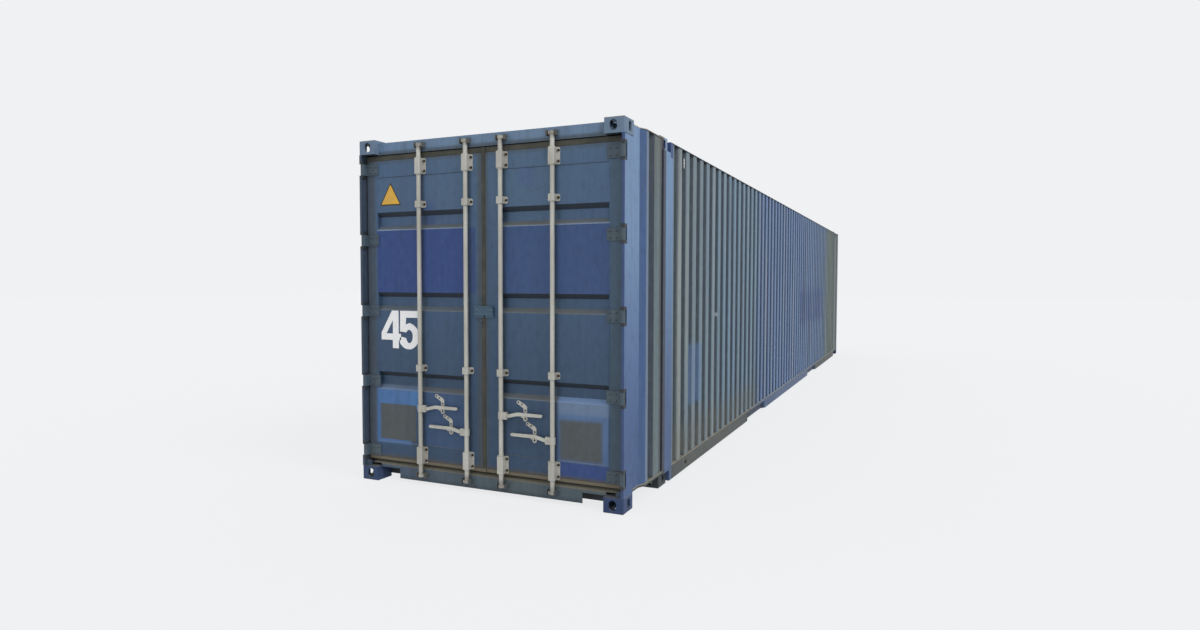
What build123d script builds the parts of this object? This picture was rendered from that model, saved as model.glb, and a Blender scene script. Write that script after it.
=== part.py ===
from build123d import *
import os

# A 45 foot, high cube, pallet-wide dry freight container.
# X runs along the length with the doors at -X, Y across, Z up.
# The origin is at the bottom centre of the whole box.

# Driving dimensions, in millimetres
LENGTH = 13716
HEIGHT = 2896
CASTING_WIDTH = 2438
BODY_WIDTH = 2500

# Corner castings and their apertures
CASTING_LONG = 178
CASTING_ACROSS = 162
CASTING_HIGH = 118
CASTING_WALL = 15
CASTING_PLATE = 28.5
CASTING_EDGE = 6
APERTURE_LONG = 124
APERTURE_ACROSS = 63.5
APERTURE_END_INSET = 103.5
APERTURE_SIDE_INSET = 89.5
EYE_HIGH = 79
END_EYE_WIDE = 62
SIDE_EYE_WIDE = 51

# End bays and the posts at the 40 foot places
END_BAY = 762
FORTY_POST_LONG = 238
FORTY_POST_THICK = 60
POST_PLATE = 6

CLOSE = 0.5
SHEET = 2

# Heights of the lower levels above the ground
RAIL_BOTTOM = 27
RAIL_TOP = 150
MEMBER_BOTTOM = 32
MEMBER_TOP = 139
FLOOR_THICK = 28

# Side rails, the top ones measured down from the castings' tops
RAIL_FLANGE = 60
RAIL_PLATE = 5
END_RAIL_HIGH = 22
TOP_RAIL_DROP = 30
TOP_RAIL_HIGH = 60
TOP_RAIL_WIDE = 60
RAIL_CAP = 6
PLAIN_STRIP = 296
FLARE = 71

# Side sheet corrugation
WALL_INSET = 6
WAVE_PITCH = 221
WAVE_DEPTH = 30
WAVE_CREST = 80
WAVE_SLOPE = 39

# The wider folds of an end bay
BAY_STRIP = 66
BAY_VALLEY = 115
BAY_SLOPE = 30
POST_GROOVE = 35
POST_GROOVE_SLOPE = 18

# Roof corrugation
ROOF_PITCH = 208
ROOF_CREST = 92
ROOF_SLOPE = 14
ROOF_RISE = 20
ROOF_EDGE_INSET = 9

# Grapple recesses in the bottom side rails
RECESS_OFFSET = 2438
RECESS_LONG = 1050
RECESS_DEEP = 45
RECESS_SLOPE = 60
RECESS_DROP = 28

# Oval hole in each bottom side rail near the doors
RAIL_HOLE_PLACE = 1404
RAIL_HOLE_DROP = 63
RAIL_HOLE_LONG = 62
RAIL_HOLE_HIGH = 34

# Door end, depths measured back from the casting faces
PIN_DEPTH = 22
PIN_INSET = 20
PIN_RADIUS = 8
BAR_DEPTH = 26
BAR_RADIUS = 18
HEADER_DEPTH = 54
DOOR_DEPTH = 56
DOOR_THICK = 50
STOP_GAP = 8

# Door posts with their foot plates
LIP_THICK = 22
POST_WIDE = 69
NOTCH_DEPTH = 50
FOOT_DEPTHS = (20, 50)

# Header and sill
HEADER_DROP = 22
HEADER_HIGH = 99
SILL_BOTTOM = 30
SILL_TOP = 140
SILL_NOTCH_TOP = 112
SILL_NOTCH_LONG = 197
BEAM_WALL = 6

# Door leaves
THRESHOLD_GAP = 38
LINTEL_GAP = 50
LEAF_GAP = 6
STILE_EDGE = 18
OUTER_STILE = 103
INNER_STILE = 145
TOP_FRAME = 139
BOTTOM_FRAME = 132
FRAME_WALL = 4
GROOVE_COUNT = 3
TOP_GROOVE_DROP = 434
LAST_GROOVE_LIFT = 733
GROOVE_HIGH = 151
GROOVE_DEPTH = 34
GROOVE_SLOPE = 38
SEAL_SET = 4
SEAL_THICK = 12
SEAL_DEEP = 36
SEAL_LIP = 2.5
SEAL_CLEAR = 5

# Hinges
HINGE_COUNT = 5
TOP_HINGE_DROP = 70
LAST_HINGE_LIFT = 50
HINGE_HIGH = 95
HINGE_REACH = 139
HINGE_PLATE = 8
CRANK_INSET = 24
KNUCKLE_RADIUS = 20
LUG_HIGH = 25
LUG_DEEP = 48
LUG_INNER = 12

# Locking bars, guides and cams
OUTER_BAR_INSET = 579
INNER_BAR_INSET = 156
CAM_DROP = 47
CAM_LIFT = 52
CAM_HIGH = 24
CAM_RADIUS = 22
HOOK_REACH = 36
HOOK_THICK = 24
KEEPER_PLATE = 3
KEEPER_CHEEK = 8
KEEPER_HIGH = 44
KEEPER_FRONT = 10
CAM_CLEAR = 6
GUIDE_FRONT = 2
GUIDE_HALF = 27
GUIDE_ROUND = 8
TOP_GUIDE_HIGH = 130
TOP_GUIDE_DROP = 5
LAST_GUIDE_HIGH = 140
LAST_GUIDE_HANG = 18
MID_GUIDE_HIGH = 54
MID_GUIDE_LIFT = 24
FLANGE_REACH = 52
FLANGE_THICK = 5
FLANGE_CORNER = 12
COLLAR_RADIUS = 22
COLLAR_HIGH = 6

# Handles and their retainers
UPPER_HANDLE = 652
LOWER_HANDLE = 489
HANDLE_OFFSET = 44
HANDLE_LONG = 314
HANDLE_HIGH = 28
HANDLE_THICK = 12
GRIP_RADIUS = 12
CRANK_START = 25
CRANK_LONG = 80
CRANK_RISE = 20
HUB_HIGH = 56
HUB_RADIUS = 24
HUB_PLATE = 6
HANDLE_PIN = 8
UPPER_RETAINER = 162
LOWER_RETAINER = 125
RETAINER_WIDE = 30
RETAINER_RING = 20
RETAINER_DROP = 36
RETAINER_KNEE = 60
ARM_REACH = 62
ARM_TOP = 90
RETAINER_PLATE = 6
RETAINER_HOLE = 8

# Lock bracket over the gap between the leaves
LOCK_PLATE_WIDE = 80
LOCK_PLATE_BOTTOM = 1420
LOCK_PLATE_HIGH = 87
LOCK_PLATE_THICK = 12
EAR_RADIUS = 16
EAR_PLACE = 46
EAR_HEIGHTS = (1567, 1385)

# Floor frame
MEMBER_PITCH = 300
MEMBER_FLANGE = 45
MEMBER_WALL = 5
TUNNEL_LONG = 3500
TUNNEL_HALF = 515
TUNNEL_PLATE = 6
TUNNEL_BOW = 13
STRINGER_WIDE = 50

# Front end
FRONT_DEPTH = 20
FRONT_RAIL_DEEP = 80
FRONT_PITCH = 255
FRONT_WAVE_DEPTH = 36
FRONT_CREST = 90
FRONT_SLOPE = 36

# Side vents
VENT_LONG = 54
VENT_HIGH = 110
VENT_THICK = 24
VENT_WAVE = 2
VENT_DROP = 56

# Ends and sides
DOOR_END, FRONT_END = -1, 1
LEFT, RIGHT = 1, -1

# Levels and planes that follow from the sizes above
CASTING_FACE = CASTING_WIDTH / 2
BODY_FACE = BODY_WIDTH / 2
WALL_FACE = BODY_FACE - WALL_INSET
PIN_Y = CASTING_FACE - PIN_INSET
POST_INNER = CASTING_FACE - POST_WIDE
POST_DEEP = CASTING_LONG
BAY_END = END_BAY + FORTY_POST_LONG
WAVE_COUNT = round((LENGTH - 2 * BAY_END) / WAVE_PITCH)
ROOF_WAVES = round((LENGTH - 2 * BAY_END - ROOF_CREST) / ROOF_PITCH)
FRONT_WAVES = round(2 * POST_INNER / FRONT_PITCH)
TOP_RAIL_TOP = HEIGHT - TOP_RAIL_DROP
TOP_RAIL_BOTTOM = TOP_RAIL_TOP - TOP_RAIL_HIGH
WALL_TOP = TOP_RAIL_TOP - RAIL_CAP
WALL_BACK = WALL_FACE - WAVE_DEPTH - SHEET
RECESS_TOP = RAIL_TOP - RECESS_DROP
FLOOR_TOP = MEMBER_TOP + FLOOR_THICK
TUNNEL_TOP = MEMBER_TOP - TUNNEL_BOW - TUNNEL_PLATE
HEADER_TOP = HEIGHT - HEADER_DROP
HEADER_BOTTOM = HEADER_TOP - HEADER_HIGH
LEAF_BOTTOM = FLOOR_TOP + THRESHOLD_GAP
LEAF_TOP = HEADER_BOTTOM - LINTEL_GAP
OUTER_BAR = PIN_Y - OUTER_BAR_INSET
INNER_BAR = LEAF_GAP + INNER_BAR_INSET
CAM_TOP = HEADER_TOP - CAM_DROP
CAM_BOTTOM = SILL_TOP - CAM_LIFT


def spread(first, last, count):
    """Evenly spaced values from the first to the last."""
    return [first + i * (last - first) / (count - 1) for i in range(count)]


HINGE_HEIGHTS = spread(LEAF_BOTTOM + LAST_HINGE_LIFT, LEAF_TOP - TOP_HINGE_DROP, HINGE_COUNT)
GROOVE_TOPS = spread(LEAF_TOP - TOP_GROOVE_DROP, LEAF_BOTTOM + LAST_GROOVE_LIFT, GROOVE_COUNT)
TOP_GUIDE = (LEAF_TOP - TOP_GUIDE_DROP - TOP_GUIDE_HIGH, LEAF_TOP - TOP_GUIDE_DROP)
LAST_GUIDE = (LEAF_BOTTOM - LAST_GUIDE_HANG, LEAF_BOTTOM - LAST_GUIDE_HANG + LAST_GUIDE_HIGH)


def slab(x, y, z):
    """A box between the pairs of limits x, y and z."""
    (x0, x1), (y0, y1), (z0, z1) = (sorted(pair) for pair in (x, y, z))
    centre = Pos((x0 + x1) / 2, (y0 + y1) / 2, (z0 + z1) / 2)
    return centre * Box(x1 - x0, y1 - y0, z1 - z0)


def outline(points):
    return make_face(Polyline(*points, close=True))


def upright(points, z0, z1):
    """A plan outline of (x, y) points raised from z0 to z1."""
    return extrude(Pos(0, 0, z0) * outline(points), amount=z1 - z0, dir=(0, 0, 1))


def along(points, x0, x1):
    """A cross outline of (y, z) points run along X."""
    return extrude(Plane.YZ.offset(x0) * outline(points), amount=x1 - x0, dir=(1, 0, 0))


def across(points, y0, y1):
    """A side outline of (x, z) points run along Y."""
    return extrude(Plane.XZ.offset(-y0) * outline(points), amount=y1 - y0, dir=(0, 1, 0))


def station(end, depth):
    """The X of a depth measured inwards from one end of the box."""
    return end * (LENGTH / 2 - depth)


def corner_prism(end, side, points, z0, z1):
    """A plan outline of (depth, distance from the centre line) points at one corner."""
    return upright([(station(end, d), side * w) for d, w in points], z0, z1)


def corner_slab(end, side, depths, widths, z):
    return slab([station(end, d) for d in depths], [side * w for w in widths], z)


def pin_along_x(radius, x0, x1, y, z):
    return extrude(Plane.YZ.offset(x0) * Pos(y, z) * Circle(radius), amount=x1 - x0, dir=(1, 0, 0))


def wave(start, count, pitch, crest, slope, high, low):
    """The points of a trapezium wave, from the middle of one crest to the middle of the last."""
    points = [(start, high)]
    for i in range(count):
        x = start + i * pitch
        points += [
            (x + crest / 2, high),
            (x + crest / 2 + slope, low),
            (x + pitch - crest / 2 - slope, low),
            (x + pitch - crest / 2, high),
        ]
    return points + [(start + count * pitch, high)]


def sheet_outline(points, thick):
    """Closes a line of points into a sheet by repeating it one thickness lower."""
    return points + [(x, level - thick) for x, level in reversed(points)]


# Corner castings

def free_edges(block, inner_x, inner_y, inner_z):
    """The edges of a block that touch none of its three inner faces."""
    def clear(edge):
        middle = edge.center()
        return min(abs(middle.X - inner_x), abs(middle.Y - inner_y), abs(middle.Z - inner_z)) > CLOSE
    return [edge for edge in block.edges() if clear(edge)]


def casting(outer_x, inward, side, top):
    """A hollow casting with its vertical aperture, end eye and side eye."""
    outer_z, up = (HEIGHT, -1) if top else (0, 1)
    face_y = side * CASTING_FACE
    inner_x = outer_x + inward * CASTING_LONG
    inner_y = side * (CASTING_FACE - CASTING_ACROSS)
    block = slab((outer_x, inner_x), (face_y, inner_y), (outer_z, outer_z + up * CASTING_HIGH))
    block = chamfer(free_edges(block, inner_x, inner_y, outer_z + up * CASTING_HIGH), CASTING_EDGE)
    cavity = slab(
        (outer_x + inward * CASTING_WALL, inner_x - inward * CASTING_WALL),
        (face_y - side * CASTING_WALL, inner_y + side * CASTING_WALL),
        (outer_z + up * CASTING_PLATE, outer_z + up * (CASTING_HIGH - CASTING_WALL)),
    )
    aperture_x = outer_x + inward * APERTURE_END_INSET
    aperture_y = side * (CASTING_FACE - APERTURE_SIDE_INSET)
    eye_z = outer_z + up * CASTING_HIGH / 2
    slot = Pos(aperture_x, aperture_y, outer_z - CASTING_PLATE) * extrude(
        SlotOverall(APERTURE_LONG, APERTURE_ACROSS), amount=2 * CASTING_PLATE)
    end_eye = Pos(outer_x - CASTING_WALL, aperture_y, eye_z) * extrude(
        Plane.YZ * Rot(0, 0, 90) * SlotOverall(EYE_HIGH, END_EYE_WIDE), amount=2 * CASTING_WALL)
    side_eye = Pos(aperture_x, face_y + CASTING_WALL, eye_z) * extrude(
        Plane.XZ * Rot(0, 0, 90) * SlotOverall(EYE_HIGH, SIDE_EYE_WIDE), amount=2 * CASTING_WALL)
    return block - cavity - slot - end_eye - side_eye


def end_castings(end, side):
    return [casting(station(end, 0), -end, side, top) for top in (False, True)]


def forty_foot_castings(side):
    return [
        casting(station(end, END_BAY), -end, side, top)
        for end in (DOOR_END, FRONT_END) for top in (False, True)
    ]


# Posts

def door_post(side):
    """A J section: a thick outer leg that holds the hinges, and a box behind the leaf."""
    stop = DOOR_DEPTH + DOOR_THICK + STOP_GAP
    inner_leg = CASTING_FACE - LIP_THICK
    low, high = CASTING_HIGH, HEIGHT - CASTING_HIGH
    leg = [(0, inner_leg), (0, CASTING_FACE), (POST_DEEP, CASTING_FACE), (POST_DEEP, POST_INNER),
           (stop, POST_INNER), (stop, inner_leg)]
    hollow = [(stop + POST_PLATE, inner_leg), (POST_DEEP - POST_PLATE, inner_leg),
              (POST_DEEP - POST_PLATE, POST_INNER + POST_PLATE),
              (stop + POST_PLATE, POST_INNER + POST_PLATE)]
    post = corner_prism(DOOR_END, side, leg, low, high)
    post -= corner_prism(DOOR_END, side, hollow, low, high)
    post += corner_slab(DOOR_END, side, FOOT_DEPTHS, (POST_INNER, inner_leg), (low, FLOOR_TOP - STOP_GAP))
    half = HINGE_HIGH / 2 + CLOSE + LUG_HIGH
    for z in HINGE_HEIGHTS:
        post -= corner_slab(DOOR_END, side, (-1, NOTCH_DEPTH), (inner_leg - 1, CASTING_FACE + 1),
                            (z - half, z + half))
    return post


def front_post(side):
    low, high = CASTING_HIGH, HEIGHT - CASTING_HIGH
    outer = corner_slab(FRONT_END, side, (0, POST_DEEP), (POST_INNER, CASTING_FACE), (low, high))
    bore = corner_slab(FRONT_END, side, (POST_PLATE, POST_DEEP - POST_PLATE),
                       (POST_INNER + POST_PLATE, CASTING_FACE - POST_PLATE), (low, high))
    return outer - bore


def forty_foot_post(end, side):
    """A flat box post that stands on its casting, with a leg beside each casting."""
    inner = BODY_FACE - FORTY_POST_THICK
    low, high = CASTING_HIGH, HEIGHT - CASTING_HIGH
    behind = END_BAY + CASTING_LONG
    box = corner_slab(end, side, (END_BAY, BAY_END), (inner, BODY_FACE), (low, high))
    bore = corner_slab(end, side, (END_BAY + POST_PLATE, behind - POST_PLATE),
                       (inner + POST_PLATE, BODY_FACE - POST_PLATE), (low, high))
    leg = corner_slab(end, side, (behind, BAY_END), (inner, BODY_FACE), (RAIL_BOTTOM, TOP_RAIL_TOP))
    return box - bore + leg


# Cross beams of the door end

def door_header():
    width = CASTING_FACE - CASTING_ACROSS
    front, back = station(DOOR_END, HEADER_DEPTH), station(DOOR_END, POST_DEEP)
    stop = station(DOOR_END, DOOR_DEPTH + DOOR_THICK + STOP_GAP)
    lip = LEAF_TOP - SEAL_THICK
    beam = slab((front, back), (-width, width), (HEADER_BOTTOM, HEADER_TOP))
    beam += slab((stop, back), (-POST_INNER, POST_INNER), (lip, HEADER_BOTTOM))
    bore = across([(front + BEAM_WALL, HEADER_BOTTOM + BEAM_WALL),
                   (front + BEAM_WALL, HEADER_TOP - BEAM_WALL),
                   (back - BEAM_WALL, HEADER_TOP - BEAM_WALL),
                   (back - BEAM_WALL, HEADER_BOTTOM + BEAM_WALL)], -width, width)
    return beam - bore


def door_sill():
    """A box beam with a slope up to the floor behind the leaves.

    Beside each casting its front is notched, down to the web at the back.
    """
    width = CASTING_FACE - CASTING_ACROSS
    front, back = station(DOOR_END, HEADER_DEPTH), station(DOOR_END, POST_DEEP)
    stop = station(DOOR_END, DOOR_DEPTH + DOOR_THICK + STOP_GAP)
    beam = slab((front, back), (-width, width), (SILL_BOTTOM, SILL_TOP))
    beam += across([(front, SILL_TOP), (stop, FLOOR_TOP), (back, FLOOR_TOP), (back, SILL_TOP)],
                   -POST_INNER, POST_INNER)
    deep = width - SILL_NOTCH_LONG
    under = SILL_BOTTOM - 1
    bore = slab((front + BEAM_WALL, back - BEAM_WALL), (-deep, deep), (under, SILL_TOP - BEAM_WALL))
    for side in (LEFT, RIGHT):
        beam -= slab((front - 1, back - BEAM_WALL), (side * deep, side * (width + 1)),
                     (under, SILL_NOTCH_TOP))
    return beam - bore


# Front end

def front_top_rail():
    width = CASTING_FACE - CASTING_ACROSS
    outer = slab((station(FRONT_END, FRONT_DEPTH), station(FRONT_END, FRONT_DEPTH + FRONT_RAIL_DEEP)),
                 (-width, width), (HEADER_BOTTOM, HEADER_TOP))
    bore = slab((station(FRONT_END, FRONT_DEPTH + BEAM_WALL),
                 station(FRONT_END, FRONT_DEPTH + FRONT_RAIL_DEEP - BEAM_WALL)),
                (-width, width), (HEADER_BOTTOM + BEAM_WALL, HEADER_TOP - BEAM_WALL))
    return outer - bore


def front_bottom_rail():
    """The front sill, with the mouth of the gooseneck tunnel cut out of its middle."""
    width = CASTING_FACE - CASTING_ACROSS
    back = FRONT_DEPTH + FRONT_RAIL_DEEP
    outer = slab((station(FRONT_END, FRONT_DEPTH), station(FRONT_END, back)),
                 (-width, width), (SILL_BOTTOM, RAIL_TOP))
    bore = slab((station(FRONT_END, FRONT_DEPTH + BEAM_WALL), station(FRONT_END, back + 1)),
                (-width, width), (SILL_BOTTOM + BEAM_WALL, RAIL_TOP - BEAM_WALL))
    mouth = slab((station(FRONT_END, 0), station(FRONT_END, back + 1)),
                 (-TUNNEL_HALF, TUNNEL_HALF), (SILL_BOTTOM - 1, TUNNEL_TOP))
    return outer - bore - mouth


def front_wall():
    pitch = 2 * POST_INNER / FRONT_WAVES
    face = station(FRONT_END, FRONT_DEPTH)
    line = wave(-POST_INNER, FRONT_WAVES, pitch, FRONT_CREST, FRONT_SLOPE,
                face, face - FRONT_WAVE_DEPTH)
    points = [(x, y) for y, x in sheet_outline(line, SHEET)]
    return upright(points, RAIL_TOP, HEADER_BOTTOM)


# Side rails and walls

def recess_steps(centre):
    """The plan line of one grapple recess, as (x, how far in) pairs."""
    half = RECESS_LONG / 2
    return [(centre - half, 0), (centre - half + RECESS_SLOPE, RECESS_DEEP),
            (centre + half - RECESS_SLOPE, RECESS_DEEP), (centre + half, 0)]


def bottom_side_rail(side):
    """A channel with its web outside; the web steps in at each grapple recess and has one hole."""
    x0, x1 = station(DOOR_END, BAY_END), station(FRONT_END, BAY_END)
    inner = BODY_FACE - RAIL_FLANGE
    outer = slab((x0, x1), (side * inner, side * BODY_FACE), (RAIL_BOTTOM, RAIL_TOP))
    bore = slab((x0, x1), (side * (inner - 1), side * (BODY_FACE - RAIL_PLATE)),
                (RAIL_BOTTOM + RAIL_PLATE, RAIL_TOP - RAIL_PLATE))
    rail = outer - bore
    oval = Plane.XZ * SlotOverall(RAIL_HOLE_LONG, RAIL_HOLE_HIGH)
    hole = extrude(oval, amount=2 * RAIL_PLATE, both=True)
    rail -= Pos(station(DOOR_END, RAIL_HOLE_PLACE), side * BODY_FACE, RAIL_TOP - RAIL_HOLE_DROP) * hole
    for centre in (-RECESS_OFFSET, RECESS_OFFSET):
        line = recess_steps(centre)
        cut = [(x, side * (BODY_FACE - deep)) for x, deep in line]
        cut = [(cut[0][0], side * (BODY_FACE + 1))] + cut + [(cut[-1][0], side * (BODY_FACE + 1))]
        plate = [(x, side * (BODY_FACE - deep)) for x, deep in line]
        plate += [(x, side * (BODY_FACE - deep - RAIL_PLATE)) for x, deep in reversed(line)]
        rail -= upright(cut, RAIL_BOTTOM - 1, RECESS_TOP)
        rail += upright(plate, RAIL_BOTTOM, RECESS_TOP + RAIL_PLATE)
        rail += upright([(x, side * (BODY_FACE - deep)) for x, deep in line],
                        RECESS_TOP, RECESS_TOP + RAIL_PLATE)
    return rail


def top_side_rail(side):
    """A square tube behind the top of the wall, with a flat cap that covers the folds."""
    x0, x1 = station(DOOR_END, BAY_END), station(FRONT_END, BAY_END)
    inner = WALL_BACK - TOP_RAIL_WIDE
    tube = slab((x0, x1), (side * inner, side * WALL_BACK), (TOP_RAIL_BOTTOM, TOP_RAIL_TOP))
    bore = slab((x0, x1), (side * (inner + RAIL_PLATE), side * (WALL_BACK - RAIL_PLATE)),
                (TOP_RAIL_BOTTOM + RAIL_PLATE, TOP_RAIL_TOP - RAIL_PLATE))
    return tube - bore + slab((x0, x1), (side * WALL_BACK, side * BODY_FACE), (WALL_TOP, TOP_RAIL_TOP))


def end_rail(end, side, z0, z1):
    """A short rail that widens from the casting width to the body width."""
    points = [(POST_DEEP, POST_INNER), (POST_DEEP, CASTING_FACE), (PLAIN_STRIP, CASTING_FACE),
              (PLAIN_STRIP + FLARE, BODY_FACE), (END_BAY, BODY_FACE), (END_BAY, POST_INNER)]
    return corner_prism(end, side, points, z0, z1)


def end_bay_rails(side):
    rails = []
    for end in (DOOR_END, FRONT_END):
        rails.append(end_rail(end, side, RAIL_TOP - END_RAIL_HIGH, RAIL_TOP))
        bar = corner_slab(end, side, (POST_DEEP, END_BAY), (POST_INNER, WALL_BACK),
                          (TOP_RAIL_BOTTOM, WALL_TOP))
        rails.append(bar + end_rail(end, side, WALL_TOP, TOP_RAIL_TOP))
    return rails


def side_wall(side):
    x0 = station(DOOR_END, BAY_END)
    pitch = 2 * abs(x0) / WAVE_COUNT
    line = wave(x0, WAVE_COUNT, pitch, WAVE_CREST, WAVE_SLOPE, WALL_FACE, WALL_FACE - WAVE_DEPTH)
    points = [(x, side * y) for x, y in sheet_outline(line, SHEET)]
    return upright(points, RAIL_TOP, WALL_TOP)


def end_bay_panel(end, side):
    """The sheet of an end bay: plain strip, flare, valley, crest and the step to the post."""
    low = WALL_FACE - WAVE_DEPTH
    flare_end = PLAIN_STRIP + FLARE
    valley = flare_end + BAY_STRIP
    crest = valley + BAY_VALLEY
    groove = END_BAY - POST_GROOVE
    line = [(POST_DEEP, CASTING_FACE), (PLAIN_STRIP, CASTING_FACE), (flare_end, WALL_FACE),
            (valley, WALL_FACE), (valley + BAY_SLOPE, low), (crest - BAY_SLOPE, low), (crest, WALL_FACE),
            (groove, WALL_FACE), (groove + POST_GROOVE_SLOPE, low), (END_BAY, low)]
    return corner_prism(end, side, sheet_outline(line, SHEET), RAIL_TOP, WALL_TOP)


def side_vent(end, side):
    """A ventilator in the middle of one valley, close under the top rail."""
    pitch = 2 * station(FRONT_END, BAY_END) / WAVE_COUNT
    x = station(end, BAY_END + (VENT_WAVE - 0.5) * pitch)
    top = WALL_TOP - VENT_DROP
    valley = WALL_FACE - WAVE_DEPTH
    return slab((x - VENT_LONG / 2, x + VENT_LONG / 2), (side * valley, side * (valley + VENT_THICK)),
                (top - VENT_HIGH, top))


# Roof, floor and floor frame

def roof():
    reach = CASTING_FACE - ROOF_EDGE_INSET
    flat = BAY_END + ROOF_CREST / 2
    start = station(DOOR_END, flat)
    pitch = 2 * abs(start) / ROOF_WAVES
    level = TOP_RAIL_TOP + SHEET
    line = [(station(DOOR_END, POST_DEEP), level)]
    for i in range(ROOF_WAVES):
        x = start + i * pitch
        line += [(x, level), (x + ROOF_SLOPE, level + ROOF_RISE),
                 (x + ROOF_SLOPE + ROOF_CREST, level + ROOF_RISE), (x + 2 * ROOF_SLOPE + ROOF_CREST, level)]
    line.append((station(FRONT_END, FRONT_DEPTH + FRONT_RAIL_DEEP), level))
    sheet = across(sheet_outline(line, SHEET), -reach, reach)
    for end in (DOOR_END, FRONT_END):
        for side in (LEFT, RIGHT):
            sheet -= corner_slab(end, side, (END_BAY, END_BAY + CASTING_LONG),
                                 (CASTING_FACE - CASTING_ACROSS, CASTING_FACE), (TOP_RAIL_TOP - 1, HEIGHT))
            sheet -= corner_slab(end, side, (0, POST_DEEP), (CASTING_FACE - CASTING_ACROSS, CASTING_FACE),
                                 (TOP_RAIL_TOP - 1, HEIGHT))
    return sheet


def floor():
    """A deck between the side rails, narrowed between the posts of the end bays."""
    inner = BODY_FACE - RAIL_FLANGE
    narrow = min(inner, POST_INNER)
    deck = slab((station(DOOR_END, BAY_END), station(FRONT_END, BAY_END)), (-inner, inner),
                (MEMBER_TOP, FLOOR_TOP))
    for end, start in ((DOOR_END, POST_DEEP), (FRONT_END, FRONT_DEPTH + FRONT_RAIL_DEEP)):
        deck += slab((station(end, start), station(end, BAY_END)), (-narrow, narrow), (MEMBER_TOP, FLOOR_TOP))
    return deck


def channel(x, y0, y1):
    """A pressed channel across the floor, open towards the front."""
    z0, z1, t = MEMBER_BOTTOM, MEMBER_TOP, MEMBER_WALL
    return across([(x, z0), (x + MEMBER_FLANGE, z0), (x + MEMBER_FLANGE, z0 + t), (x + t, z0 + t),
                   (x + t, z1 - t), (x + MEMBER_FLANGE, z1 - t), (x + MEMBER_FLANGE, z1), (x, z1)], y0, y1)


def member_reach(x):
    """How far a member runs from the centre line: short of the web at a grapple recess."""
    for centre in (-RECESS_OFFSET, RECESS_OFFSET):
        if abs(x + MEMBER_FLANGE / 2 - centre) < RECESS_LONG / 2 + MEMBER_FLANGE:
            return BODY_FACE - RECESS_DEEP - RAIL_PLATE
    return BODY_FACE - RAIL_PLATE


def cross_members():
    first, last = station(DOOR_END, BAY_END), station(FRONT_END, BAY_END)
    count = round((last - first) / MEMBER_PITCH)
    pitch = (last - first) / count
    members = []
    for i in range(count):
        x = first + (i + 0.5) * pitch - MEMBER_FLANGE / 2
        reach = member_reach(x)
        if x + MEMBER_FLANGE < station(FRONT_END, TUNNEL_LONG):
            members.append(channel(x, -reach, reach))
        else:
            wall = TUNNEL_HALF + TUNNEL_PLATE
            members += [channel(x, -reach, -wall), channel(x, wall, reach)]
    return members


def end_stringers():
    """Two beams from the door sill, and two from the front sill, to the first cross members."""
    first, last = station(DOOR_END, BAY_END), station(FRONT_END, BAY_END)
    count = round((last - first) / MEMBER_PITCH)
    half = (last - first) / count / 2
    outer = CASTING_FACE - CASTING_ACROSS
    beams = []
    for end, start in ((DOOR_END, POST_DEEP), (FRONT_END, FRONT_DEPTH + FRONT_RAIL_DEEP)):
        reach = BAY_END + half - MEMBER_FLANGE / 2
        for side in (LEFT, RIGHT):
            beams.append(corner_slab(end, side, (start, reach), (outer - STRINGER_WIDE, outer),
                                     (MEMBER_BOTTOM, MEMBER_TOP)))
    return beams


def gooseneck_tunnel():
    """The raised plate over the tunnel, with its side webs and the flat bows under the floor."""
    x0, x1 = station(FRONT_END, TUNNEL_LONG), station(FRONT_END, FRONT_DEPTH + FRONT_RAIL_DEEP)
    outer, inner = TUNNEL_HALF + TUNNEL_PLATE, TUNNEL_HALF
    tunnel = along([(-outer, MEMBER_BOTTOM), (-outer, MEMBER_TOP), (-inner, MEMBER_TOP),
                    (-inner, TUNNEL_TOP + TUNNEL_PLATE), (inner, TUNNEL_TOP + TUNNEL_PLATE),
                    (inner, MEMBER_TOP), (outer, MEMBER_TOP), (outer, MEMBER_BOTTOM),
                    (inner, MEMBER_BOTTOM), (inner, TUNNEL_TOP), (-inner, TUNNEL_TOP),
                    (-inner, MEMBER_BOTTOM)], x0, x1)
    count = int((x1 - x0) / MEMBER_PITCH)
    for i in range(count):
        x = x0 + (i + 0.5) * (x1 - x0) / count
        tunnel += slab((x, x + MEMBER_FLANGE), (-inner, inner), (TUNNEL_TOP + TUNNEL_PLATE, MEMBER_TOP))
    return tunnel


# Door leaves

def leaf_edges():
    """The inner and outer edges of a leaf, from the centre line."""
    return LEAF_GAP, PIN_Y - STILE_EDGE


def door_frame(side):
    edge, outer = leaf_edges()
    depths = (DOOR_DEPTH, DOOR_DEPTH + DOOR_THICK)
    bores = (DOOR_DEPTH + FRAME_WALL, DOOR_DEPTH + DOOR_THICK - FRAME_WALL)
    inner_stile, outer_stile = (edge, edge + INNER_STILE), (outer - OUTER_STILE, outer)
    frame = corner_slab(DOOR_END, side, depths, (edge, outer), (LEAF_BOTTOM, LEAF_TOP))
    frame -= corner_slab(DOOR_END, side, (DOOR_DEPTH - 1, DOOR_DEPTH + DOOR_THICK + 1),
                         (inner_stile[1], outer_stile[0]),
                         (LEAF_BOTTOM + BOTTOM_FRAME, LEAF_TOP - TOP_FRAME))
    for low, high in (inner_stile, outer_stile):
        frame -= corner_slab(DOOR_END, side, bores, (low + FRAME_WALL, high - FRAME_WALL),
                             (LEAF_BOTTOM, LEAF_TOP))
    for low, high in ((LEAF_BOTTOM, LEAF_BOTTOM + BOTTOM_FRAME), (LEAF_TOP - TOP_FRAME, LEAF_TOP)):
        frame -= corner_slab(DOOR_END, side, (bores[0], DOOR_DEPTH + DOOR_THICK + 1),
                             (inner_stile[1], outer_stile[0]), (low + FRAME_WALL, high - FRAME_WALL))
    return frame


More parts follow.
